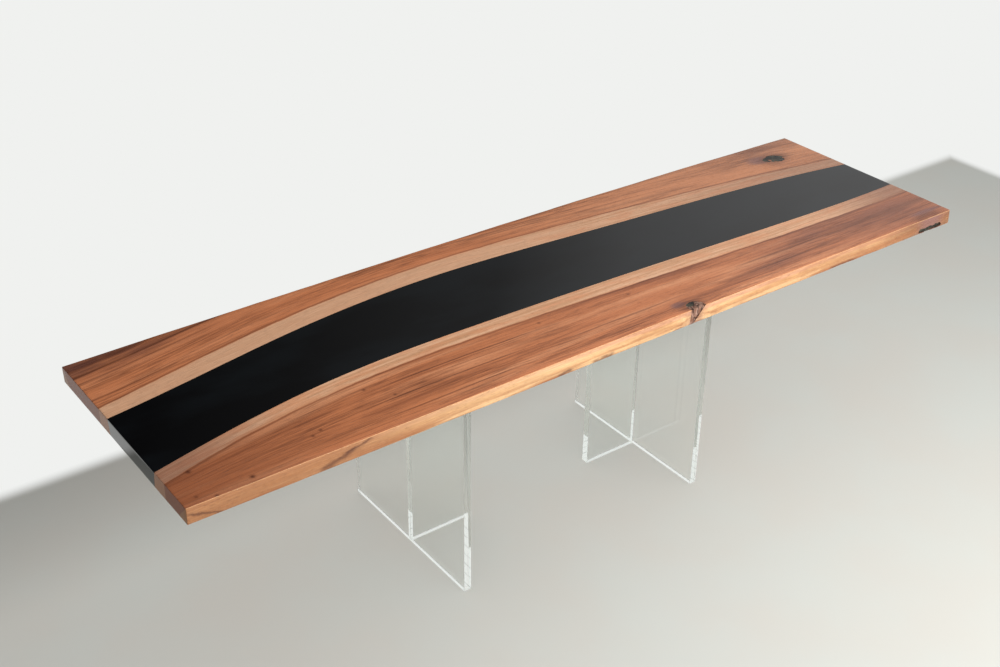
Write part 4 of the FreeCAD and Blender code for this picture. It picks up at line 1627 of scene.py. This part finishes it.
def powder_coating():
    """Black powder coating with its fine orange peel."""
    colours = bpy.context.scene.table_colours
    finish, tree, surface = new_finish("powder_coating")
    place = object_place(tree)
    wear = cloud(place, *WEAR_NOISE)
    tone = mix(step(wear, *WEAR_RANGE, 0.0, WEAR_DEPTH), colours.coating, colours.bark)
    relief = bump(cloud(place, *PEEL_NOISE), *PEEL_BUMP)
    coat(surface, tone, step(wear, *MAIN_RANGE, *COATING_ROUGHNESS), Normal=relief)
    return finish


def bright_metal(name, tone, roughness):
    """Turned metal with fine tool marks."""
    finish, tree, surface = new_finish(name)
    place = object_place(tree)
    marks = cloud(place, *MARKS_NOISE)
    stain = step(cloud(place, *STAIN_NOISE), *STAIN_RANGE, 0.0, STAIN_DEPTH)
    shine = step(marks, *MAIN_RANGE, *roughness)
    coat(surface, mix(stain, tone, STAIN_TONE), shine, Normal=bump(marks, *MARKS_BUMP), Metallic=1.0)
    return finish


class TABLE_OT_fittings(bpy.types.Operator):
    """Finish the channels, screws, washers and inserts"""

    bl_idname = "table.fittings"
    bl_label = "Steel and brass fittings"

    def execute(self, context):
        colours = context.scene.table_colours
        coating = powder_coating()
        steel = bright_metal("stainless_steel", colours.steel, STEEL_ROUGHNESS)
        brass = bright_metal("brass", colours.brass, BRASS_ROUGHNESS)
        endings = {"channel": coating, "screws": steel, "washers": steel, "inserts": brass}
        for name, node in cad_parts.items():
            finish = endings.get(name.split("_")[-1])
            if finish:
                node.data.materials.clear()
                node.data.materials.append(finish)
        return {"FINISHED"}


# The stage


# How often light may be thrown back inside an acrylic sheet before it is lost
SHEET_BOUNCES = 32

# The floor's mottle as a noise, its depth of tone, and the floor's roughness
FLOOR_MOTTLE = ((2.2, 2.2, 1.0), 4.0)
FLOOR_MOTTLE_DEPTH = 0.06
FLOOR_ROUGHNESS = 0.7


def floor_finish():
    """A pale floor that turns into a white ground behind the table."""
    colours = bpy.context.scene.table_colours
    stage = bpy.context.scene.table_stage
    fade = stage.backdrop_fade
    finish, tree, surface = new_finish("stage_floor")
    place = object_place(tree)
    x, y, _ = split(place)
    mottle = step(cloud(place, *FLOOR_MOTTLE), *MAIN_RANGE, 0.0, FLOOR_MOTTLE_DEPTH)
    ground = mix(mottle, colours.floor, colours.heart_light)
    behind = step(y, stage.backdrop_line - fade, stage.backdrop_line + fade)
    beside = step(x, stage.side_line - fade, stage.side_line + fade)
    white = calc("MAXIMUM", behind, beside)
    coat(surface, mix(white, ground, colours.backdrop), FLOOR_ROUGHNESS)
    mirrored = add(tree, "ShaderNodeLightPath").outputs["Is Glossy Ray"]
    shown = calc("MULTIPLY", white, calc("MAXIMUM", seen_directly(tree), mirrored))
    glow = add(tree, "ShaderNodeEmission", {"Color": colours.backdrop, "Strength": 1.0})
    blend = derive("ShaderNodeMixShader", {0: shown, 1: surface.outputs[0], 2: glow.outputs[0]})
    output = next(node for node in tree.nodes if node.type == "OUTPUT_MATERIAL")
    feed(output.inputs["Surface"], blend.outputs[0])
    return finish


def glow_ramp(factor):
    """How bright the studio looks in reflections, from its dark back left to its bright front right."""
    ramp = derive("ShaderNodeValToRGB", {"Fac": factor})
    elements = ramp.color_ramp.elements
    while len(elements) < len(REFLECTED_LEVELS):
        elements.new(1.0)
    for element, (place, level) in zip(elements, REFLECTED_LEVELS):
        element.position = place
        element.color = (level, level, level, 1)
    return ramp.outputs[0]


def seen_directly(tree):
    """1 for rays from the camera and through clear pieces."""
    path = add(tree, "ShaderNodeLightPath").outputs
    seen = calc("MAXIMUM", path["Is Camera Ray"], path["Is Transmission Ray"])
    return calc("MULTIPLY", seen, calc("LESS_THAN", path["Diffuse Depth"], HALF))


def seen_twice(tree):
    """1 for scattered light through a clear piece, which lets the same light pass as shadow rays."""
    path = add(tree, "ShaderNodeLightPath").outputs
    scattered = calc("GREATER_THAN", path["Diffuse Depth"], HALF)
    return calc("MULTIPLY", path["Is Transmission Ray"], scattered)


def set_world():
    """Even soft light, a white ground behind and reflections that brighten to the front right."""
    stage = bpy.context.scene.table_stage
    world = bpy.data.worlds.new("studio")
    bpy.context.scene.world = world
    world.use_nodes = True
    tree = world.node_tree
    tree.nodes.clear()
    toward = add(tree, "ShaderNodeTexCoord").outputs["Generated"]
    sides = {0: toward, 1: BRIGHT_SIDE}
    lean = derive("ShaderNodeVectorMath", sides, operation="DOT_PRODUCT").outputs["Value"]
    factor = calc("MULTIPLY_ADD", lean, HALF, HALF)
    mirrored = add(tree, "ShaderNodeLightPath").outputs["Is Glossy Ray"]
    level = (stage.ambient, stage.ambient, stage.ambient)
    shade = mix(mirrored, level, glow_ramp(factor))
    shade = mix(seen_directly(tree), shade, bpy.context.scene.table_colours.backdrop)
    shade = mix(seen_twice(tree), shade, (0.0, 0.0, 0.0))
    glow = derive("ShaderNodeBackground", {"Color": shade, "Strength": 1.0})
    derive("ShaderNodeOutputWorld", {"Surface": glow.outputs[0]})


def soft_lamp(name, place, aim, size, power, spread):
    """A large soft lamp that looks at a point."""
    bpy.ops.object.light_add(type="AREA", location=place)
    lamp = named(name)
    lamp.data.shape = "DISK"
    lamp.data.size = size
    lamp.data.energy = power
    lamp.data.spread = spread
    lamp.visible_transmission = False
    lamp.visible_glossy = False
    lamp.rotation_euler = (Vector(aim) - Vector(place)).to_track_quat("-Z", "Y").to_euler()


def set_camera():
    """The camera at the photograph's viewing angle."""
    stage = bpy.context.scene.table_stage
    yaw, pitch, roll = stage.camera_yaw, stage.camera_pitch, stage.camera_roll
    ahead = Vector((math.sin(yaw) * math.cos(pitch), math.cos(yaw) * math.cos(pitch), -math.sin(pitch)))
    level = Vector((math.cos(yaw), -math.sin(yaw), 0))
    above = level.cross(ahead)
    right = math.cos(roll) * level + math.sin(roll) * above
    up = math.cos(roll) * above - math.sin(roll) * level
    bpy.ops.object.camera_add()
    camera = named("camera")
    turn = Matrix((right, up, -ahead)).transposed().to_4x4()
    camera.matrix_world = Matrix.Translation(stage.camera_place) @ turn
    camera.data.lens = stage.lens
    camera.data.sensor_width = stage.sensor
    bpy.context.scene.camera = camera


class TABLE_OT_stage(bpy.types.Operator):
    """Set up the floor, the light and the camera"""

    bl_idname = "table.stage"
    bl_label = "Stage"

    def execute(self, context):
        stage = context.scene.table_stage
        deselect_all()
        bpy.ops.mesh.primitive_plane_add(size=stage.floor_size, location=(0, 0, CAD_LOW.z - SNUG))
        floor = settle(named("floor"))
        floor.data.materials.append(floor_finish())
        set_world()
        light = (stage.key_size, stage.key_power, stage.key_spread)
        soft_lamp("key_lamp", stage.key_place, (0, 0, TOP_FACE), *light)
        set_camera()
        context.scene.view_settings.view_transform = "Standard"
        for kind in ("max_bounces", "glossy_bounces", "transmission_bounces"):
            setattr(context.scene.cycles, kind, SHEET_BOUNCES)
        return {"FINISHED"}


class TABLE_PT_panel(bpy.types.Panel):
    """The steps of the table in the sidebar"""

    bl_idname = "TABLE_PT_panel"
    bl_label = "Live edge dining table"
    bl_space_type = "VIEW_3D"
    bl_region_type = "UI"
    bl_category = "Table"

    def draw(self, context):
        for operator in OPERATORS:
            self.layout.operator(operator.bl_idname)


OPERATORS = (
    TABLE_OT_walnut_slabs,
    TABLE_OT_knot_fills,
    TABLE_OT_resin_river,
    TABLE_OT_acrylic_panels,
    TABLE_OT_mounting_plates,
    TABLE_OT_fittings,
    TABLE_OT_stage,
)
GROUPS = {"table_sizes": TableSizes, "table_colours": TableColours, "table_stage": TableStage}


def register():
    """Register the settings, the operators and the panel."""
    for name, group in GROUPS.items():
        bpy.utils.register_class(group)
        setattr(bpy.types.Scene, name, PointerProperty(type=group))
    for operator in (*OPERATORS, TABLE_PT_panel):
        bpy.utils.register_class(operator)


def unregister():
    """Undo register."""
    for operator in (TABLE_PT_panel, *reversed(OPERATORS)):
        bpy.utils.unregister_class(operator)
    for name, group in GROUPS.items():
        delattr(bpy.types.Scene, name)
        bpy.utils.unregister_class(group)


def main():
    """Build the table step by step."""
    register()
    bpy.ops.table.walnut_slabs()
    bpy.ops.table.knot_fills()
    bpy.ops.table.resin_river()
    bpy.ops.table.acrylic_panels()
    bpy.ops.table.mounting_plates()
    bpy.ops.table.fittings()
    bpy.ops.table.stage()


if __name__ == "__main__":
    main()
